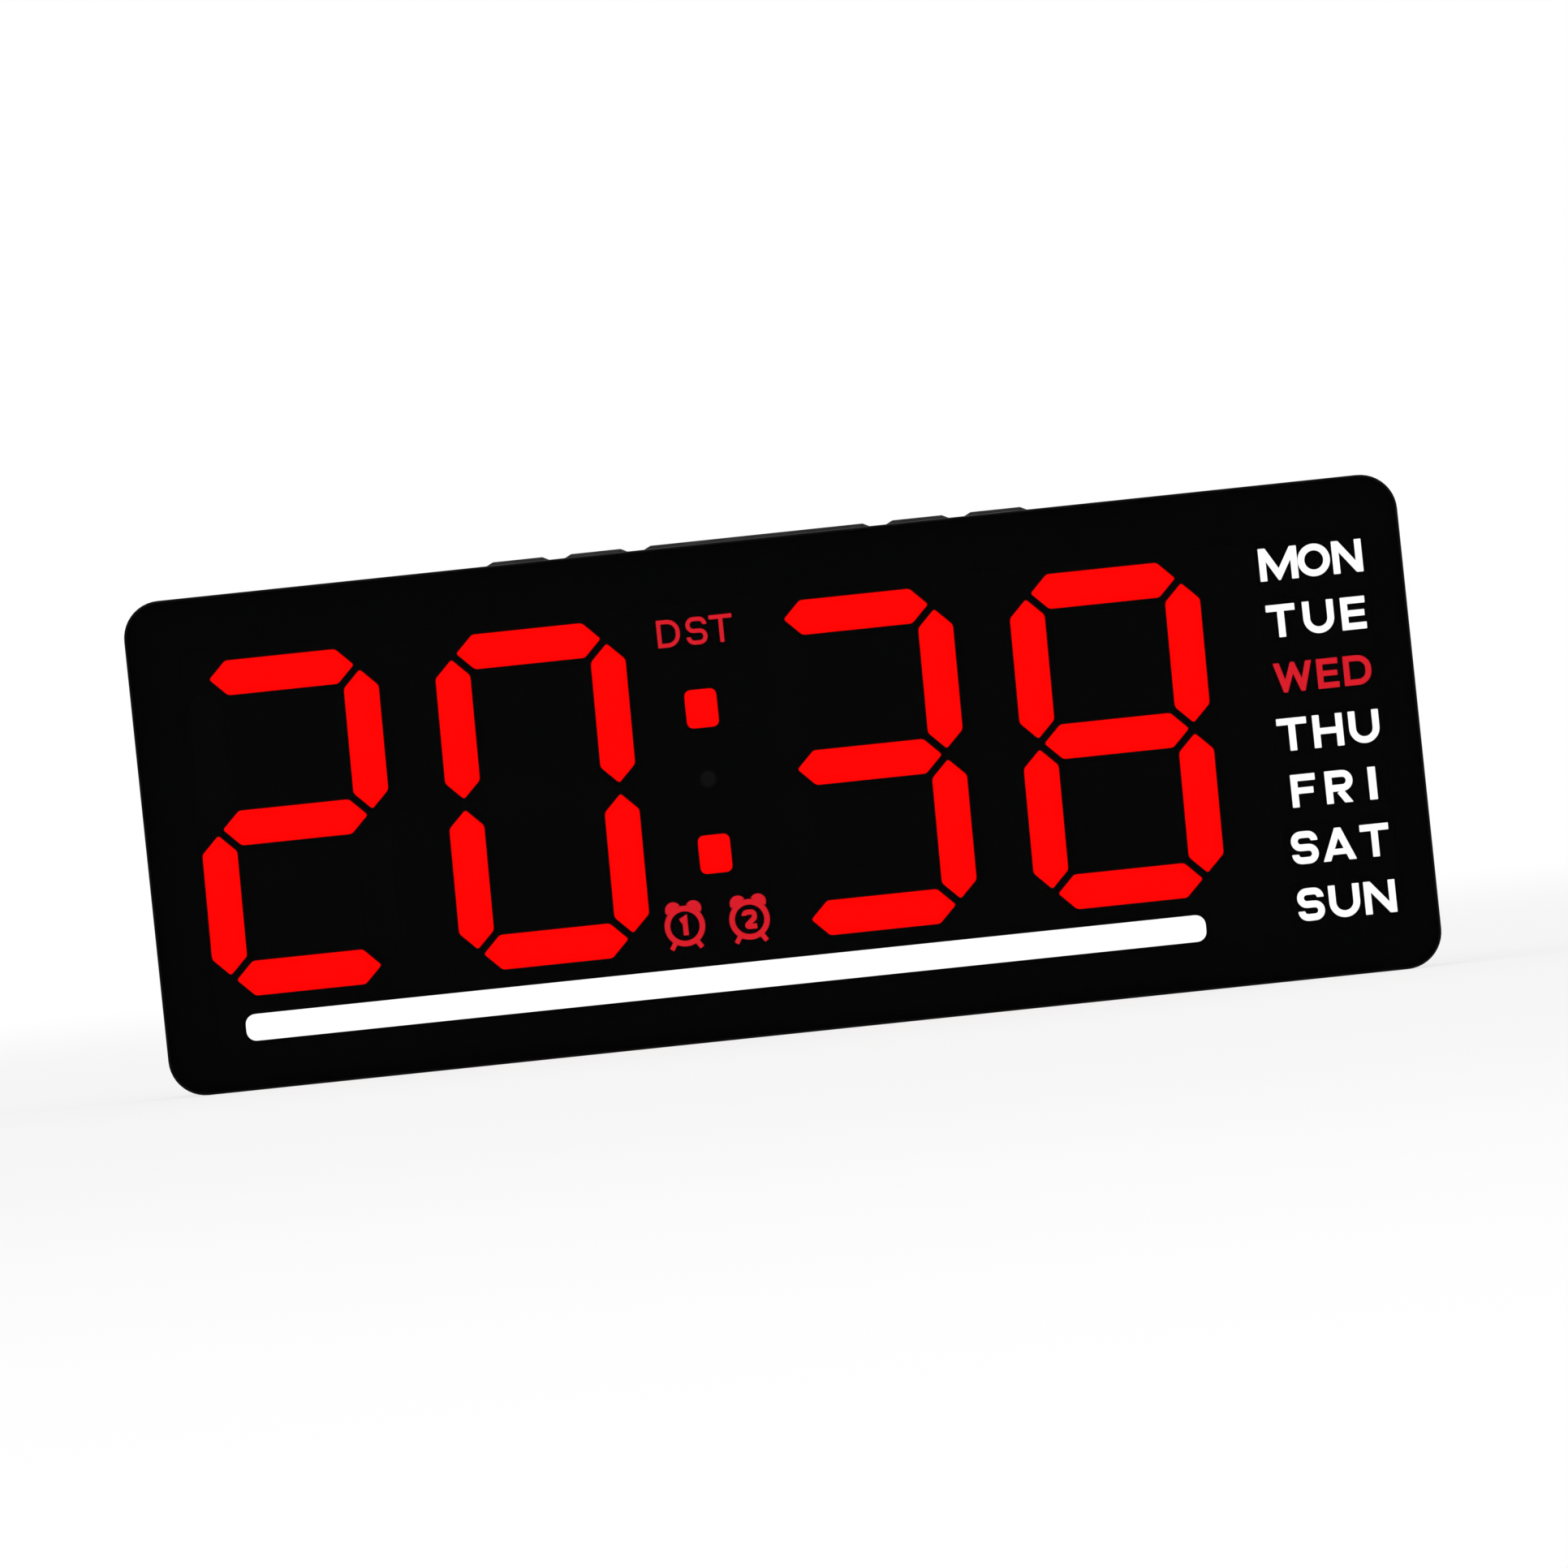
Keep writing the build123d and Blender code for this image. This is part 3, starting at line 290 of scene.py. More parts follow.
lit_pieces = [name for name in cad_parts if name.startswith("digit_") and name.endswith("_lit")]
dark_pieces = [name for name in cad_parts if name.endswith("_dark")]
dress(segment_lit, *lit_pieces, "colon_dots")
dress(segment_unlit, *dark_pieces)
dress(bar_lit, "light_bar")

# The words and alarm marks shine through clear places in the black film on the front of their
# tiles. Each clear place is a thin lit insert, which lies on the film.
film_colour = (0.003, 0.003, 0.003)
small_mark_red = (0.66, 0.012, 0.022)
insert_depth = 0.1 * mm
row_reach = 120 * mm
row_gap = 3.8 * mm
trim_slack = 0.005 * mm
arc_steps = 8
bar_share = 0.92
day_cap = 6.15 * mm
day_stroke = 1.27 * mm
lit_day = 2
lit_day_cap = 5.6 * mm
lit_day_stroke = 1.1 * mm
summer_cap = 5.2 * mm
summer_stroke = 0.78 * mm
day_words = (
    (("M", -6.1, 7.2), ("O", 0.6, 6.1), ("N", 6.9, 5.6)),
    (("T", -6.65, 5.4), ("U", 0.4, 5.8), ("E", 6.95, 4.6)),
    (("W", -5.5, 7.1), ("E", 1.0, 4.0), ("D", 6.6, 5.2)),
    (("T", -6.8, 5.6), ("H", -0.05, 5.6), ("U", 6.75, 5.7)),
    (("F", -5.8, 4.6), ("R", 1.0, 5.3), ("I", 7.2, 1.45)),
    (("S", -6.7, 5.0), ("A", -0.3, 6.25), ("T", 6.55, 5.4)),
    (("S", -6.65, 5.0), ("U", -0.3, 5.8), ("N", 6.4, 5.9)),
)
summer_word = (("D", -4.9, 4.3), ("S", 0.4, 3.95), ("T", 5.05, 4.3))


def solid_boxes(name):
    """The lowest and highest corner of each separate solid of a CAD piece, in order."""
    shell = bmesh.new()
    shell.from_mesh(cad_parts[name].data)
    bmesh.ops.remove_doubles(shell, verts=shell.verts, dist=weld_reach)
    unseen = set(shell.verts)
    boxes = []
    while unseen:
        waiting = [unseen.pop()]
        places = []
        while waiting:
            corner = waiting.pop()
            places.append(corner.co.copy())
            for edge in corner.link_edges:
                other = edge.other_vert(corner)
                if other in unseen:
                    unseen.remove(other)
                    waiting.append(other)
        low = Vector([min(p[i] for p in places) for i in range(3)])
        high = Vector([max(p[i] for p in places) for i in range(3)])
        boxes.append((low, high))
    shell.free()
    return sorted(boxes, key=lambda box: tuple(round(v, 6) for v in box[0]))


def rounded_line(points, radii, closed):
    """A line whose corners are turned into arcs of their radii."""
    line = []
    count = len(points)
    for i, corner in enumerate(points):
        at_end = not closed and i in (0, count - 1)
        if at_end or radii[i] <= 0:
            line.append(corner)
            continue
        back = (points[i - 1] - corner).normalized()
        on = (points[(i + 1) % count] - corner).normalized()
        half = back.angle(on) / 2
        centre = corner + (back + on).normalized() * radii[i] / sin(half)
        start = corner + back * radii[i] / tan(half) - centre
        end = corner + on * radii[i] / tan(half) - centre
        sweep = pi - 2 * half
        for k in range(arc_steps + 1):
            share = k / arc_steps
            arc = start * sin((1 - share) * sweep) + end * sin(share * sweep)
            line.append(centre + arc / sin(sweep))
    return line


def stroke_side(points, radii, offset, closed):
    """One side of a pen stroke along a line, with mitred or rounded corners."""
    side = []
    side_radii = []
    count = len(points)
    for i, point in enumerate(points):
        ways = []
        if closed or i > 0:
            ways.append((point - points[i - 1]).normalized())
        if closed or i < count - 1:
            ways.append((points[(i + 1) % count] - point).normalized())
        lefts = [Vector((-way.y, way.x)) for way in ways]
        first, last = lefts[0], lefts[-1]
        side.append(point + (first + last) * offset / (1 + first.dot(last)))
        turn = 1 if ways[0].cross(ways[-1]) > 0 else -1
        side_radii.append(radii[i] - turn * offset if radii[i] > 0 else 0)
    return rounded_line(side, side_radii, closed)


def pen_stroke(path, width, radii=None, closed=False):
    """The closed outlines of one pen stroke: one loop, or two where the stroke is a ring."""
    points = [Vector(p) for p in path]
    radii = radii or [0] * len(points)
    left = stroke_side(points, radii, width / 2, closed)
    right = stroke_side(points, radii, -width / 2, closed)
    if closed:
        return [left, right]
    return [left + right[::-1]]


def letter_strokes(letter, w, h, s):
    """The pen strokes of a capital in a box w wide and h high, for a pen s wide."""
    left, right, low, top = s / 2, w - s / 2, s / 2, h - s / 2
    middle = h / 2
    centre = w / 2
    bend = (w - s) / 2
    lobe = (top - middle) / 2
    waist = h * 0.46
    knee = (top - waist) / 2
    out = h * 0.1
    if letter == "O":
        ring = ((left, low), (right, low), (right, top), (left, top))
        return [pen_stroke(ring, s, [bend] * 4, True)]
    if letter == "D":
        ring = ((left, low), (right, low), (right, top), (left, top))
        bowl = (top - low) / 2 * 0.9
        return [pen_stroke(ring, s, [0, bowl, bowl, 0], True)]
    if letter == "U":
        return [pen_stroke(((left, h), (left, low), (right, low), (right, h)), s, [0, bend, bend, 0])]
    if letter == "S":
        path = (
            (right, top - lobe),
            (right, top),
            (left, top),
            (left, middle),
            (right, middle),
            (right, low),
            (left, low),
            (left, low + lobe),
        )
        return [pen_stroke(path, s, [0, lobe, lobe, lobe, lobe, lobe, lobe, 0])]
    if letter == "R":
        bowl = ((s, top), (right - s * 0.1, top), (right - s * 0.1, waist), (s, waist))
        leg = ((centre, waist - s * 0.45), (w - s * 0.55, -out))
        stem = pen_stroke(((left, 0), (left, h)), s)
        return [stem, pen_stroke(bowl, s, [0, knee, knee, 0]), pen_stroke(leg, s)]
    if letter == "E":
        frame_path = ((w, top), (left, top), (left, low), (w, low))
        arm = ((s, middle), (w * 0.95, middle))
        return [pen_stroke(frame_path, s), pen_stroke(arm, s * bar_share)]
    if letter == "F":
        arm = ((s, middle), (w * 0.9, middle))
        return [pen_stroke(((w, top), (left, top), (left, 0)), s), pen_stroke(arm, s * bar_share)]
    if letter == "H":
        bar = ((s, middle), (w - s, middle))
        stems = [pen_stroke(((x, 0), (x, h)), s) for x in (left, right)]
        return stems + [pen_stroke(bar, s * bar_share)]
    if letter == "I":
        return [pen_stroke(((centre, 0), (centre, h)), w)]
    if letter == "T":
        return [pen_stroke(((0, top), (w, top)), s), pen_stroke(((centre, 0), (centre, h - s)), s)]
    if letter == "N":
        return [pen_stroke(((left, 0), (left, h - s * 0.2), (right, s * 0.2), (right, h)), s)]
    if letter == "M":
        dip = ((left, 0), (left, h - s * 0.1), (centre, s * 0.75), (right, h - s * 0.1), (right, 0))
        return [pen_stroke(dip, s)]
    if letter == "W":
        foot = s * 0.55
        peaks = (
            (s * 0.5 - w * 0.03, h + out),
            (w * 0.27, foot),
            (centre, h - foot),
            (w * 0.73, foot),
            (w - s * 0.5 + w * 0.03, h + out),
        )
        return [pen_stroke(peaks, s)]
    if letter == "A":
        slant = (centre - s * 0.55) / (h - s * 0.2)
        foot = s * 0.55 - slant * out
        roof = ((foot, -out), (centre, h - s * 0.2), (w - foot, -out))
        bar_z = h * 0.27
        inner = s * 0.9 + slant * bar_z
        return [pen_stroke(roof, s), pen_stroke(((inner, bar_z), (w - inner, bar_z)), s * 0.85)]
    raise ValueError(letter)


def add_block(shape, low, high):
    """Adds a box between two corners and returns its vertices."""
    made = bmesh.ops.create_cube(shape, size=1.0)["verts"]
    size = high - low
    bmesh.ops.scale(shape, vec=size, verts=made)
    bmesh.ops.translate(shape, vec=(low + high) / 2, verts=made)
    return made


def add_insert(sheet, loops, corner):
    """Adds one stroke as a flat face in the plane of the marks."""
    part = bmesh.new()
    for loop in loops:
        verts = [part.verts.new((corner[0] + p.x, 0, corner[1] + p.y)) for p in loop]
        for i, vert in enumerate(verts):
            part.edges.new((vert, verts[i - 1]))
    bmesh.ops.remove_doubles(part, verts=part.verts, dist=weld_reach)
    bmesh.ops.triangle_fill(part, use_beauty=True, edges=part.edges)
    raised = bmesh.ops.extrude_face_region(part, geom=part.faces[:])
    moved = [v for v in raised["geom"] if isinstance(v, bmesh.types.BMVert)]
    bmesh.ops.translate(part, verts=moved, vec=(0, -insert_depth, 0))
    bmesh.ops.recalc_face_normals(part, faces=part.faces)
    holder = bpy.data.meshes.new("part")
    part.to_mesh(holder)
    part.free()
    sheet.from_mesh(holder)
    bpy.data.meshes.remove(holder)


def cut_with(shape, blades):
    """Cuts one set of closed shapes with another, and makes what overlaps one skin."""
    pair = []
    for part in (shape, blades):
        bmesh.ops.scale(part, verts=part.verts, vec=(1 / mm, 1 / mm, 1 / mm))
        mesh = bpy.data.meshes.new("part")
        part.to_mesh(mesh)
        part.free()
        item = bpy.data.objects.new("part", mesh)
        bpy.context.scene.collection.objects.link(item)
        pair.append(item)
    cut = pair[0].modifiers.new("cut", "BOOLEAN")
    cut.object = pair[1]
    cut.operation = "DIFFERENCE"
    cut.solver = "EXACT"
    cut.use_self = True
    bpy.context.view_layer.update()
    left_over = bpy.data.meshes.new_from_object(
        pair[0].evaluated_get(bpy.context.evaluated_depsgraph_get())
    )
    for item in pair:
        bpy.data.objects.remove(item)
    left_over.transform(Matrix.Scale(mm, 4))
    return left_over


def finish_inserts(name, sheet, rows, material):
    """Trims marks to their rows and fits them on the front of their tiles."""
    blades = bmesh.new()
    for low, high in rows:
        for z in (low - trim_slack - row_gap, high + trim_slack):
            corner = Vector((-row_reach, -2 * insert_depth, z))
            add_block(blades, corner, corner + Vector((2 * row_reach, 4 * insert_depth, row_gap)))
    trimmed = bmesh.new()
    trimmed.from_mesh(cut_with(sheet, blades))
    bmesh.ops.translate(trimmed, verts=trimmed.verts, vec=(0, film_front, 0))
    return finish_piece(name, trimmed, material, "clock_case", "mark_diffuser")


def add_word(sheet, word, middle, cap, pen):
    """Adds a word's letters, each with its place and width in millimetres, and tells its row."""
    for letter, place, width in word:
        w = width * mm
        corner = (middle.x + place * mm - w / 2, middle.z - cap / 2)
        for loops in letter_strokes(letter, w, cap, pen):
            add_insert(sheet, loops, corner)
    return middle.z - cap / 2, middle.z + cap / 2


film_black = base_finish("film_black", film_colour, roughness=0.6, gloss=0.0)
grain(film_black, frost_grain, frost_depth)
dress(film_black, "weekday_tiles", "indicator_tiles")
mark_red = lit_finish("mark_red", (0.12, 0.003, 0.005), small_mark_red)
mark_white = lit_finish("mark_white", (0.7, 0.7, 0.7), lit_white)

day_boxes = sorted(solid_boxes("weekday_tiles"), key=lambda box: -box[0].z)
film_front = day_boxes[0][0].y
white_words = bmesh.new()
white_rows = []
lit_word = bmesh.new()
for i, (low, high) in enumerate(day_boxes):
    middle = (low + high) / 2
    if i == lit_day:
        lit_row = add_word(lit_word, day_words[i], middle, lit_day_cap, lit_day_stroke)
    else:
        white_rows.append(add_word(white_words, day_words[i], middle, day_cap, day_stroke))
finish_inserts("weekday_words", white_words, white_rows, mark_white)
finish_inserts("weekday_word_lit", lit_word, [lit_row], mark_red)

*alarm_boxes, summer_box = sorted(solid_boxes("indicator_tiles"), key=lambda box: box[0].z)
alarm_boxes.sort(key=lambda box: box[0].x)
summer_letters = bmesh.new()
summer_middle = (summer_box[0] + summer_box[1]) / 2
summer_row = add_word(summer_letters, summer_word, summer_middle, summer_cap, summer_stroke)
finish_inserts("summer_time_mark", summer_letters, [summer_row], mark_red)

# Each alarm mark is a small round clock face with two bells, two feet and its number. It is
# drawn with the same pen as the letters, in the same red, and trimmed to its tile.
ring_radius = 3.3 * mm
ring_stroke = 1.05 * mm
ring_drop = 0.4 * mm
bell_reach = 3.7 * mm
bell_radius = 1.5 * mm
bell_round = 0.98 * bell_radius
bell_lean = radians(31)
foot_lean = radians(34)
foot_length = 1.3 * mm
foot_stroke = 0.9 * mm
number_stroke = 0.95 * mm
number_paths = (
    ((-0.75 * mm, 0.95 * mm), (0.1 * mm, 1.4 * mm), (0.1 * mm, -1.75 * mm)),
    (
        (-0.95 * mm, 0.75 * mm),
        (-0.95 * mm, 1.35 * mm),
        (0.95 * mm, 1.35 * mm),
        (0.95 * mm, 0.2 * mm),
        (-0.9 * mm, -1.35 * mm),
        (1.3 * mm, -1.35 * mm),
    ),
)
number_radii = ((0, 0, 0), (0, 0.6 * mm, 0.6 * mm, 0.4 * mm, 0.25 * mm, 0))


def turned(points, angle):
    """Points of a mark, turned about its middle."""
    turn = Matrix.Rotation(angle, 2)
    return [turn @ Vector(p) for p in points]


alarm_marks = bmesh.new()
for (low, high), path, radii in zip(alarm_boxes, number_paths, number_radii):
    middle = ((low.x + high.x) / 2, (low.z + high.z) / 2 - ring_drop)
    r = ring_radius
    corners = ((-r, -r), (r, -r), (r, r), (-r, r))
    add_insert(alarm_marks, pen_stroke(corners, ring_stroke, [r] * 4, True), middle)
    b = bell_radius
    bell_top = bell_reach + b
    bell = [Vector(p) for p in ((b, bell_reach), (b, bell_top), (-b, bell_top), (-b, bell_reach))]
    bell_outline = rounded_line(bell, [0, bell_round, bell_round, 0], True)
    foot = ((0, -r), (0, -r - ring_stroke / 2 - foot_length))
    for side in (-1, 1):
        add_insert(alarm_marks, [turned(bell_outline, side * bell_lean)], middle)
        add_insert(alarm_marks, pen_stroke(turned(foot, side * foot_lean), foot_stroke), middle)
    add_insert(alarm_marks, pen_stroke(path, number_stroke, radii), middle)
finish_inserts("alarm_marks", alarm_marks, [(alarm_boxes[0][0].z, alarm_boxes[0][1].z)], mark_red)

# The lamp board, the button board and the inlet board are glass cloth laminate under a green
# solder mask. Their parts are soldered on: lamps, chips in black epoxy, cans and a buzzer.
mask_colour = (0.012, 0.07, 0.03)
weave_pitch = 0.6 * mm
epoxy_grain = 0.15 * mm
board_grain_depth = 0.01 * mm

board_green = base_finish("board_green", mask_colour, roughness=0.35, gloss=0.5)
grain(board_green, weave_pitch, board_grain_depth, detail=0.0)
dress(board_green, "led_board", "button_board", "inlet_board")
lamp_white = base_finish("lamp_white", (0.75, 0.75, 0.7), roughness=0.5, gloss=0.5)
wander(lamp_white, 0.4, 0.6, 1 * mm)
dress(lamp_white, "led_chips")
epoxy_black = base_finish("epoxy_black", (0.015, 0.015, 0.016), roughness=0.6, gloss=0.4)
grain(epoxy_black, epoxy_grain, board_grain_depth)
dress(epoxy_black, "controller_chip", "driver_chips", "light_sensor", "button_header", "buzzer")
can_metal = base_finish("can_metal", (0.6, 0.6, 0.62), roughness=0.3, gloss=0.5, metallic=1.0)
wander(can_metal, 0.22, 0.38, 3 * mm)
dress(can_metal, "crystal", "capacitors")
clear_pipe = base_finish("clear_pipe", (0.02, 0.02, 0.02), roughness=0.1, gloss=0.05)
wander(clear_pipe, 0.08, 0.15, 2 * mm)
dress(clear_pipe, "sensor_pipe")

# The keys are moulded in a dull deep black with a finer grain than the case's, and their tops
# are polished by use. Under each stands a push switch with a brown plunger.
key_grain = 0.4 * mm
key_grain_depth = 0.04 * mm
small_round = 0.15 * mm

key_black = base_finish("key_black", (0.005, 0.005, 0.006), roughness=0.6, gloss=0.04)
wander(key_black, 0.52, 0.7, 5 * mm)
grain(key_black, key_grain, key_grain_depth)
keys = ("alarm_key", "set_key", "snooze_bar", "down_key", "up_key")
dress(key_black, *keys, softened=small_round)
key_top = base_finish("key_top", case_colour, roughness=0.42, gloss=0.3)
wander(key_top, 0.35, 0.5, 5 * mm)
grain(key_top, key_grain, key_grain_depth)
roof_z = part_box("front_housing")[1].z
for name in keys:
    dress_faces(
        key_top, name, lambda face: face.normal.z > face_on and face.center.z > roof_z
    )
switch_black = base_finish("switch_black", (0.02, 0.02, 0.02), roughness=0.5, gloss=0.4)
grain(switch_black, key_grain, key_grain_depth)
dress(switch_black, "tact_switches")
plunger_brown = base_finish("plunger_brown", (0.09, 0.035, 0.015), roughness=0.45, gloss=0.4)
grain(plunger_brown, key_grain, key_grain_depth)
dress(plunger_brown, *[f"{name}_plunger" for name in ("alarm", "set", "snooze", "down", "up")])

# The two legs are moulded flat with a shallow recess, and snap into the cover on their pins.
# A ribbed rubber pad is glued under the end of each.
pad_ribs = 6
pad_base = 0.45 * mm
pad_corner = 2 * mm
rib_share = 0.55
rib_end = 1.2 * mm
leg_round = 0.25 * mm
rubber_grain = 0.2 * mm
rubber_grain_depth = 0.02 * mm
pad_corner_steps = 6
rib_round_steps = 3
along = 0.999

dress(case_black, "left_leg", "right_leg", softened=leg_round)
pad_rubber = base_finish("pad_rubber", (0.02, 0.02, 0.021), roughness=0.85, gloss=0.3)
wander(pad_rubber, 0.75, 0.95, 4 * mm)
grain(pad_rubber, rubber_grain, rubber_grain_depth)


def edges_along(verts, axis):
    """The edges between these vertices that run along one axis."""
    found = []
    for edge in {e for v in verts for e in v.link_edges}:
        way = edge.verts[1].co - edge.verts[0].co
        if abs(way[axis]) > along * way.length:
            found.append(edge)
    return found


def round_edges(shape, edges, radius, segments):
    """Rounds a box's edges."""
    bmesh.ops.bevel(
        shape,
        geom=edges,
        offset=radius,
        offset_type="OFFSET",
        affect="EDGES",
        segments=segments,
        profile=0.5,
        material=-1,
    )


for side in ("left", "right"):
    low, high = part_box(f"{side}_leg_pad")
    pad = bmesh.new()
    base_low = Vector((low.x, low.y, high.z - pad_base))
    base = add_block(pad, base_low, high)
    round_edges(pad, edges_along(base, 2), pad_corner, pad_corner_steps)
    pitch = (high.y - low.y) / pad_ribs
    rib_width = pitch * rib_share
    for i in range(pad_ribs):
        middle_y = low.y + (i + 0.5) * pitch
        inset = rib_end if i in (0, pad_ribs - 1) else rib_end / 3
        rib_low = Vector((low.x + inset, middle_y - rib_width / 2, low.z))
        rib_high = Vector((high.x - inset, middle_y + rib_width / 2, base_low.z))
        rib = add_block(pad, rib_low, rib_high)
        under = [e for e in edges_along(rib, 0) if all(v.co.z < low.z + weld_reach for v in e.verts)]
        round_edges(pad, under, pad_base / 2, rib_round_steps)
    finish_piece(
        f"{side}_ribbed_pad", pad, pad_rubber, f"{side}_stand", "pad_rubber", f"{side}_leg_pad"
    )

# The backup cell lies behind a small door, which one captive screw holds. The cell is nickel
# plated steel, and two sprung brass strips press on it.
cell_steel = base_finish("cell_steel", (0.62, 0.6, 0.57), roughness=0.28, gloss=0.5, metallic=1.0)
wander(cell_steel, 0.25, 0.31, 9 * mm)
dress(cell_steel, "backup_cell")
contact_brass = base_finish("contact_brass", (0.65, 0.45, 0.2), roughness=0.35, gloss=0.5, metallic=1.0)
wander(contact_brass, 0.28, 0.45, 3 * mm)
dress(contact_brass, "cell_contacts")
dress(case_black, "cell_door", softened=small_round)

# The power inlet is a drawn steel shell with a black tongue inside. The tongue carries a row of
# gilt contact strips on each face.
strip_count = 12
strip_pitch = 0.5 * mm
strip_width = 0.26 * mm
strip_length = 3.6 * mm
strip_depth = 0.02 * mm
strip_setback = 0.4 * mm
tongue_half = 0.35 * mm

inlet_steel = base_finish("inlet_steel", (0.6, 0.6, 0.62), roughness=0.3, gloss=0.5, metallic=1.0)
wander(inlet_steel, 0.24, 0.4, 2 * mm)
dress(inlet_steel, "power_inlet")
dress(epoxy_black, "inlet_tongue")
gilt = base_finish("gilt", (0.8, 0.55, 0.2), roughness=0.3, gloss=0.5, metallic=1.0)
wander(gilt, 0.25, 0.4, 1 * mm)
tongue_low, tongue_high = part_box("inlet_tongue")
tongue_middle = (tongue_low + tongue_high) / 2
strip_back = tongue_high.y - strip_setback
strips = bmesh.new()
for i in range(strip_count):
    x = tongue_middle.x + (i - (strip_count - 1) / 2) * strip_pitch
    for side in (-1, 1):
        face_z = tongue_middle.z + side * tongue_half
        zs = sorted((face_z, face_z + side * strip_depth))
        strip_low = Vector((x - strip_width / 2, strip_back - strip_length, zs[0]))
        strip_high = Vector((x + strip_width / 2, strip_back, zs[1]))
        add_block(strips, strip_low, strip_high)
finish_piece("inlet_strips", strips, gilt, "clock_case", "contact_brass")

# The screws are pan headed steel with a cross recess, driven straight into the plastic. Eight
# hold the cover from deep wells, ten are inside, and one holds the cell door.
screw_sides = 32
head_radius = 2.1 * mm
shank_radius = 1.25 * mm
root_radius = 0.95 * mm
thread_pitch = 0.9 * mm
recess_arm = 0.42 * mm
recess_reach = 1.35 * mm
recess_depth = 1.1 * mm
recess_taper = 0.45
crown = 0.55
shoulder = 0.86
shoulder_drop = 0.18
rim_drop = 0.5
root_start = 0.35
root_end = 0.65
turn_per_metre = 400
pan_height = 1.6 * mm
flat_height = 0.9 * mm

screw_steel = base_finish("screw_steel", (0.35, 0.35, 0.36), roughness=0.35, gloss=0.5, metallic=1.0)
wander(screw_steel, 0.28, 0.45, 1.5 * mm)


def screw_mesh(length, head_height):
    """A pan headed, cross recessed screw along Y, with its head's top at the origin."""
    seat = -head_height
    profile = [
        (0, 0),
        (head_radius * crown, 0),
        (head_radius * shoulder, -head_height * shoulder_drop),
        (head_radius, -head_height * rim_drop),
        (head_radius, seat),
        (shank_radius, seat),
    ]
    turns = int((length - head_height - shank_radius) / thread_pitch)
    for i in range(turns):
        start = seat - i * thread_pitch
        profile.append((root_radius, start - thread_pitch * root_start))
        profile.append((root_radius, start - thread_pitch * root_end))
        profile.append((shank_radius, start - thread_pitch))
    profile.append((0, -length))
    shape = bmesh.new()
    verts = [shape.verts.new((r, y, 0)) for r, y in profile]
    edges = [shape.edges.new(pair) for pair in zip(verts, verts[1:])]
    bmesh.ops.spin(
        shape,
        geom=verts + edges,
        cent=(0, 0, 0),
        axis=(0, 1, 0),
        angle=2 * pi,
        steps=screw_sides,
        use_merge=True,
    )
    bmesh.ops.remove_doubles(shape, verts=shape.verts, dist=weld_reach)
    bmesh.ops.recalc_face_normals(shape, faces=shape.faces)
    cutter = bmesh.new()
    for across in (0, 2):
        half = Vector((recess_arm, recess_depth, recess_arm))
        half[across] = recess_reach
        arm = add_block(cutter, -half, half)
        tip = [v for v in arm if v.co.y < 0]
        bmesh.ops.scale(cutter, vec=(recess_taper, 1, recess_taper), verts=tip)
    return cut_with(shape, cutter)


def set_screws(name, node, body, head_height):
    """Puts a detailed screw in the place of each plain one, each turned by its own amount."""
    group = bmesh.new()
    for low, high in solid_boxes(node):
        cut = screw_mesh(high.y - low.y, head_height)
        cut.transform(Matrix.Rotation(low.x * turn_per_metre, 4, "Y"))
        cut.transform(Matrix.Translation(((low.x + high.x) / 2, high.y, (low.z + high.z) / 2)))
        group.from_mesh(cut)
    piece = finish_piece(name, group, screw_steel, body, "screw_steel", node)
    for face in piece.data.polygons:
        face.use_smooth = True
    crease = piece.modifiers.new("crease", "EDGE_SPLIT")
    crease.split_angle = smooth_below
    return piece


set_screws("cover_screw_set", "cover_screws", "clock_case", pan_height)
set_screws("board_screw_set", "board_screws", "clock_case", pan_height)
set_screws("reflector_screw_set", "reflector_screws", "clock_case", pan_height)
set_screws("door_screw_fitted", "door_screw", "cell_hatch", flat_height)

# The clock stands on a large white floor in a white room, which keeps its soft shadow. The floor
# lies a hair below the clock's underside, so that the two never show through each other.
floor_half = 6.0
floor_drop = 0.02 * mm
floor_glow = 0.75
floor_near = 0.35
floor_far = 1.6
studio_level = 0.55

floor_mesh = bmesh.new()
bmesh.ops.create_grid(floor_mesh, x_segments=1, y_segments=1, size=floor_half)
bmesh.ops.translate(floor_mesh, verts=floor_mesh.verts, vec=(0, 0, -floor_drop))
floor_data = bpy.data.meshes.new("floor")
floor_mesh.to_mesh(floor_data)
floor_mesh.free()
floor = bpy.data.objects.new("floor", floor_data)
bpy.context.scene.collection.objects.link(floor)
floor_white = bpy.data.materials.new("floor_white")
floor_white.use_nodes = True
floor_nodes = floor_white.node_tree.nodes
floor_nodes.clear()
floor_links = floor_white.node_tree.links
glow = floor_nodes.new("ShaderNodeEmission")
glow.inputs["Color"].default_value = (1, 1, 1, 1)
matt = floor_nodes.new("ShaderNodeBsdfDiffuse")
matt.inputs["Color"].default_value = (0.9, 0.9, 0.9, 1)
blend = floor_nodes.new("ShaderNodeMixShader")
surface = floor_nodes.new("ShaderNodeOutputMaterial")
spot = floor_nodes.new("ShaderNodeTexCoord")
reach = floor_nodes.new("ShaderNodeVectorMath")
reach.operation = "LENGTH"
fade = floor_nodes.new("ShaderNodeMapRange")
fade.interpolation_type = "SMOOTHSTEP"
fade.inputs["From Min"].default_value = floor_near
fade.inputs["From Max"].default_value = floor_far
fade.inputs["To Min"].default_value = floor_glow
fade.inputs["To Max"].default_value = 1.0
floor_links.new(spot.outputs["Object"], reach.inputs[0])
floor_links.new(reach.outputs["Value"], fade.inputs["Value"])
floor_links.new(fade.outputs["Result"], blend.inputs["Fac"])
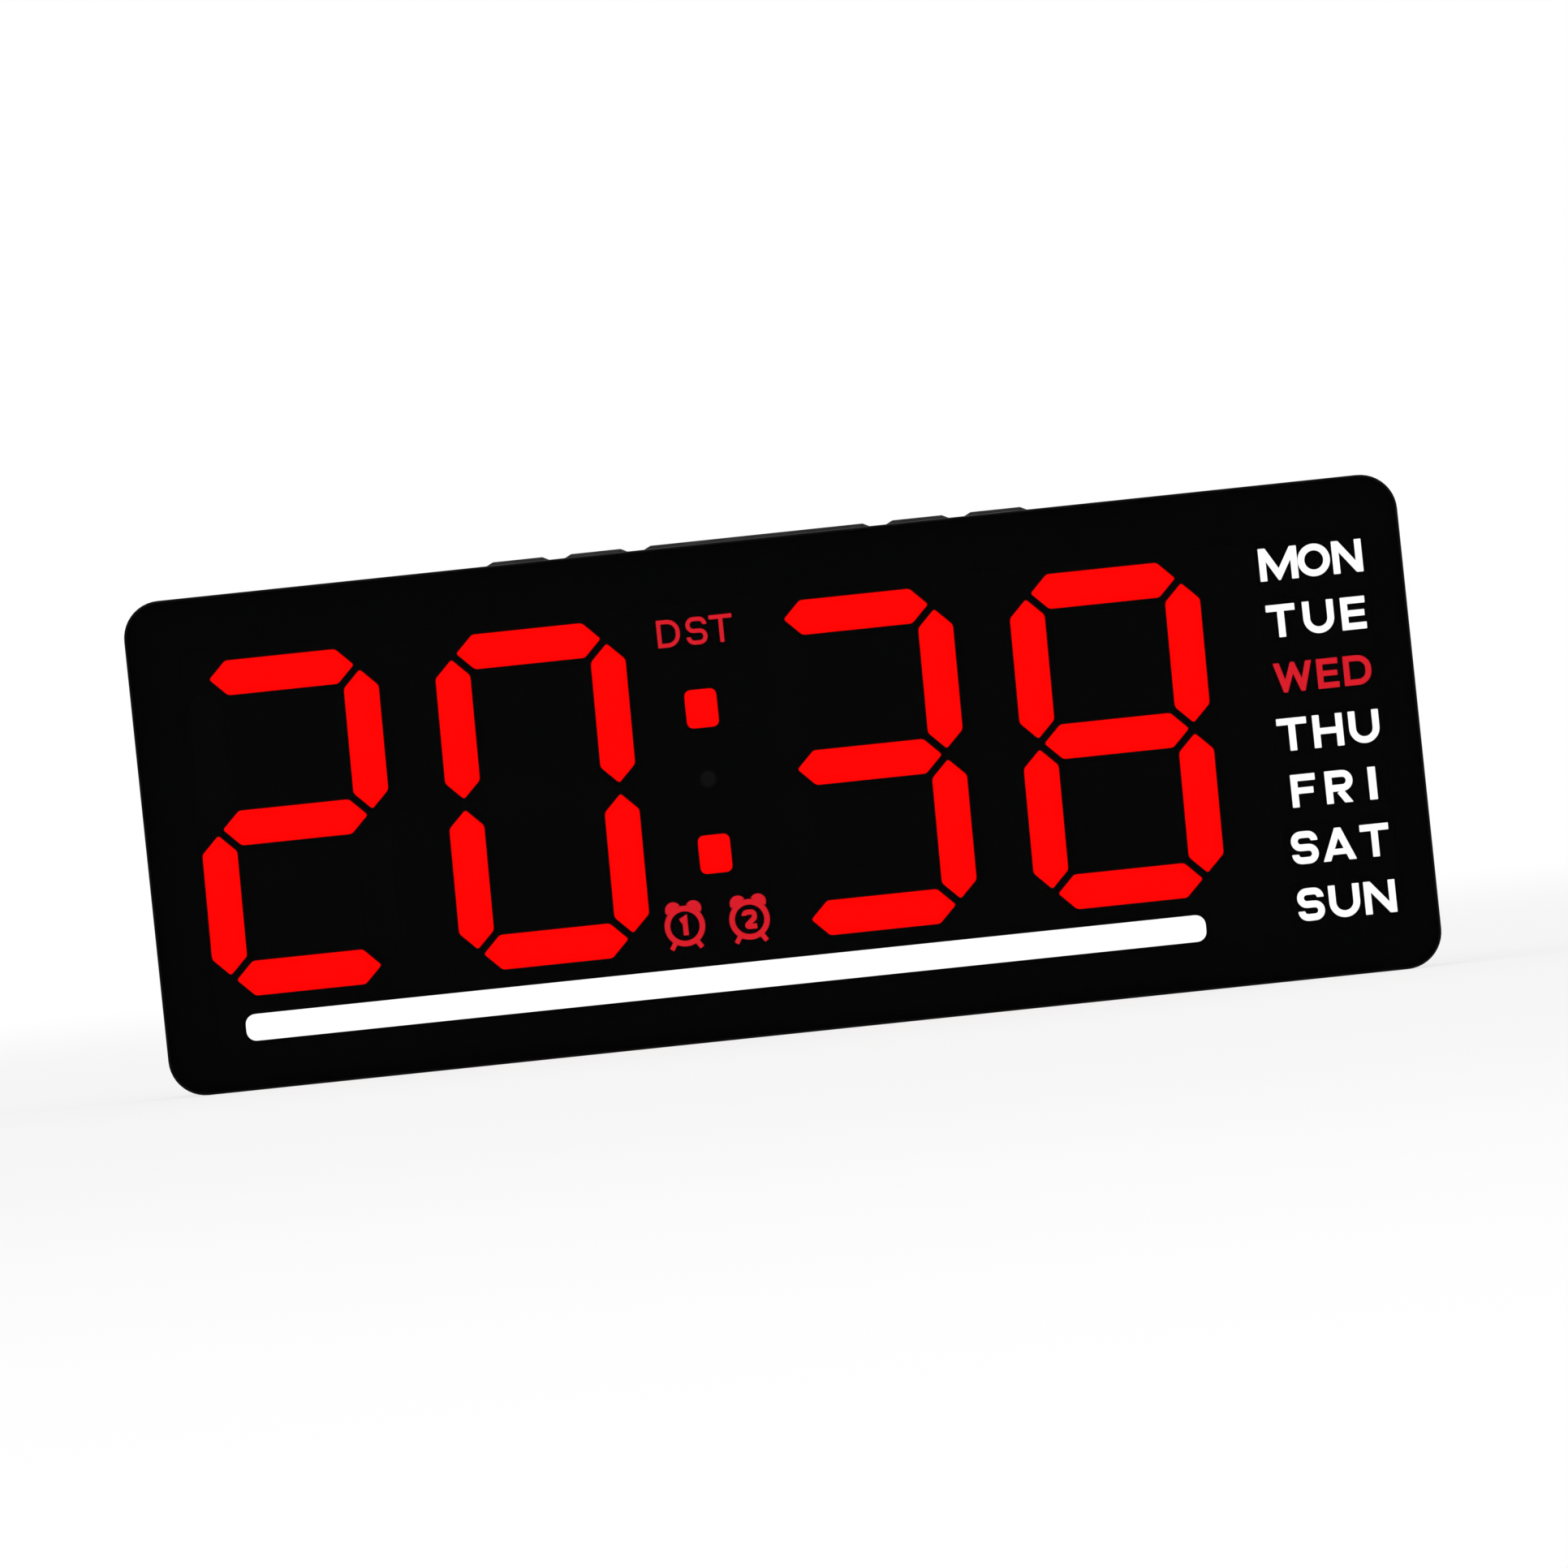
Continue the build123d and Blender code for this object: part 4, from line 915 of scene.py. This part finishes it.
floor_links.new(matt.outputs["BSDF"], blend.inputs[1])
floor_links.new(glow.outputs["Emission"], blend.inputs[2])
floor_links.new(blend.outputs["Shader"], surface.inputs["Surface"])
floor_data.materials.append(floor_white)

world = bpy.data.worlds.new("studio")
bpy.context.scene.world = world
world.use_nodes = True
sky = world.node_tree.nodes
sky.clear()
sky_links = world.node_tree.links
ray = sky.new("ShaderNodeLightPath")
seen = sky.new("ShaderNodeMath")
seen.operation = "ADD"
seen.use_clamp = True
seen_through = sky.new("ShaderNodeMath")
seen_through.operation = "ADD"
seen_through.use_clamp = True
sky_links.new(ray.outputs["Is Camera Ray"], seen.inputs[0])
sky_links.new(ray.outputs["Is Glossy Ray"], seen.inputs[1])
sky_links.new(seen.outputs["Value"], seen_through.inputs[0])
sky_links.new(ray.outputs["Is Transmission Ray"], seen_through.inputs[1])
room = sky.new("ShaderNodeBackground")
room.inputs["Color"].default_value = (1, 1, 1, 1)
room.inputs["Strength"].default_value = studio_level
backdrop = sky.new("ShaderNodeBackground")
backdrop.inputs["Color"].default_value = (1, 1, 1, 1)
backdrop.inputs["Strength"].default_value = 1.0
either = sky.new("ShaderNodeMixShader")
sky_out = sky.new("ShaderNodeOutputWorld")
sky_links.new(seen_through.outputs["Value"], either.inputs["Fac"])
sky_links.new(room.outputs["Background"], either.inputs[1])
sky_links.new(backdrop.outputs["Background"], either.inputs[2])
sky_links.new(either.outputs["Shader"], sky_out.inputs["Surface"])

# Three wide soft lamps stand round the clock: one high at the left, one at the right and one
# behind it. Each is about as bright as the room.
lamp_plan = (
    ("left_lamp", (-1.2, -1.1, 1.5), 1.8, 9.0),
    ("right_lamp", (1.5, -0.6, 0.9), 1.4, 4.0),
    ("back_lamp", (0.4, 1.7, 1.3), 1.8, 3.5),
)
aim = (cad_box[0] + cad_box[1]) / 2
for lamp_name, place, size, power in lamp_plan:
    light = bpy.data.lights.new(lamp_name, "AREA")
    light.shape = "DISK"
    light.size = size
    light.energy = power
    lamp = bpy.data.objects.new(lamp_name, light)
    lamp.location = place
    lamp.rotation_euler = (Vector(aim) - Vector(place)).to_track_quat("-Z", "Y").to_euler()
    bpy.context.scene.collection.objects.link(lamp)

# The photograph looks straight at the front through a long lens, and is turned so that the
# clock rises to the right.
photo_tilt = radians(6.0)
photo_scale = 6.5728
photo_size = 1932
lens_length = 300.0
sensor_width = 36.0
face_pixel = (964.44, 967.27)
see_to = 100.0

lens_low, lens_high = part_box("front_lens")
face_middle = (lens_low + lens_high) / 2
distance = lens_length / sensor_width * photo_size / photo_scale * mm
across = Vector((cos(photo_tilt), 0, -sin(photo_tilt)))
upward = Vector((sin(photo_tilt), 0, cos(photo_tilt)))
toward = Vector((0, -1, 0))
shift_right = (photo_size / 2 - face_pixel[0]) / photo_scale * mm
shift_up = (face_pixel[1] - photo_size / 2) / photo_scale * mm
camera_data = bpy.data.cameras.new("camera")
camera_data.lens = lens_length
camera_data.sensor_width = sensor_width
camera_data.clip_end = see_to
camera = bpy.data.objects.new("camera", camera_data)
bpy.context.scene.collection.objects.link(camera)
station = Vector((face_middle.x, lens_low.y, face_middle.z)) + toward * distance
station += across * shift_right + upward * shift_up
stance = Matrix((across, upward, toward)).transposed().to_4x4()
camera.matrix_world = Matrix.Translation(station) @ stance
bpy.context.scene.camera = camera
bpy.context.scene.view_settings.view_transform = "Standard"
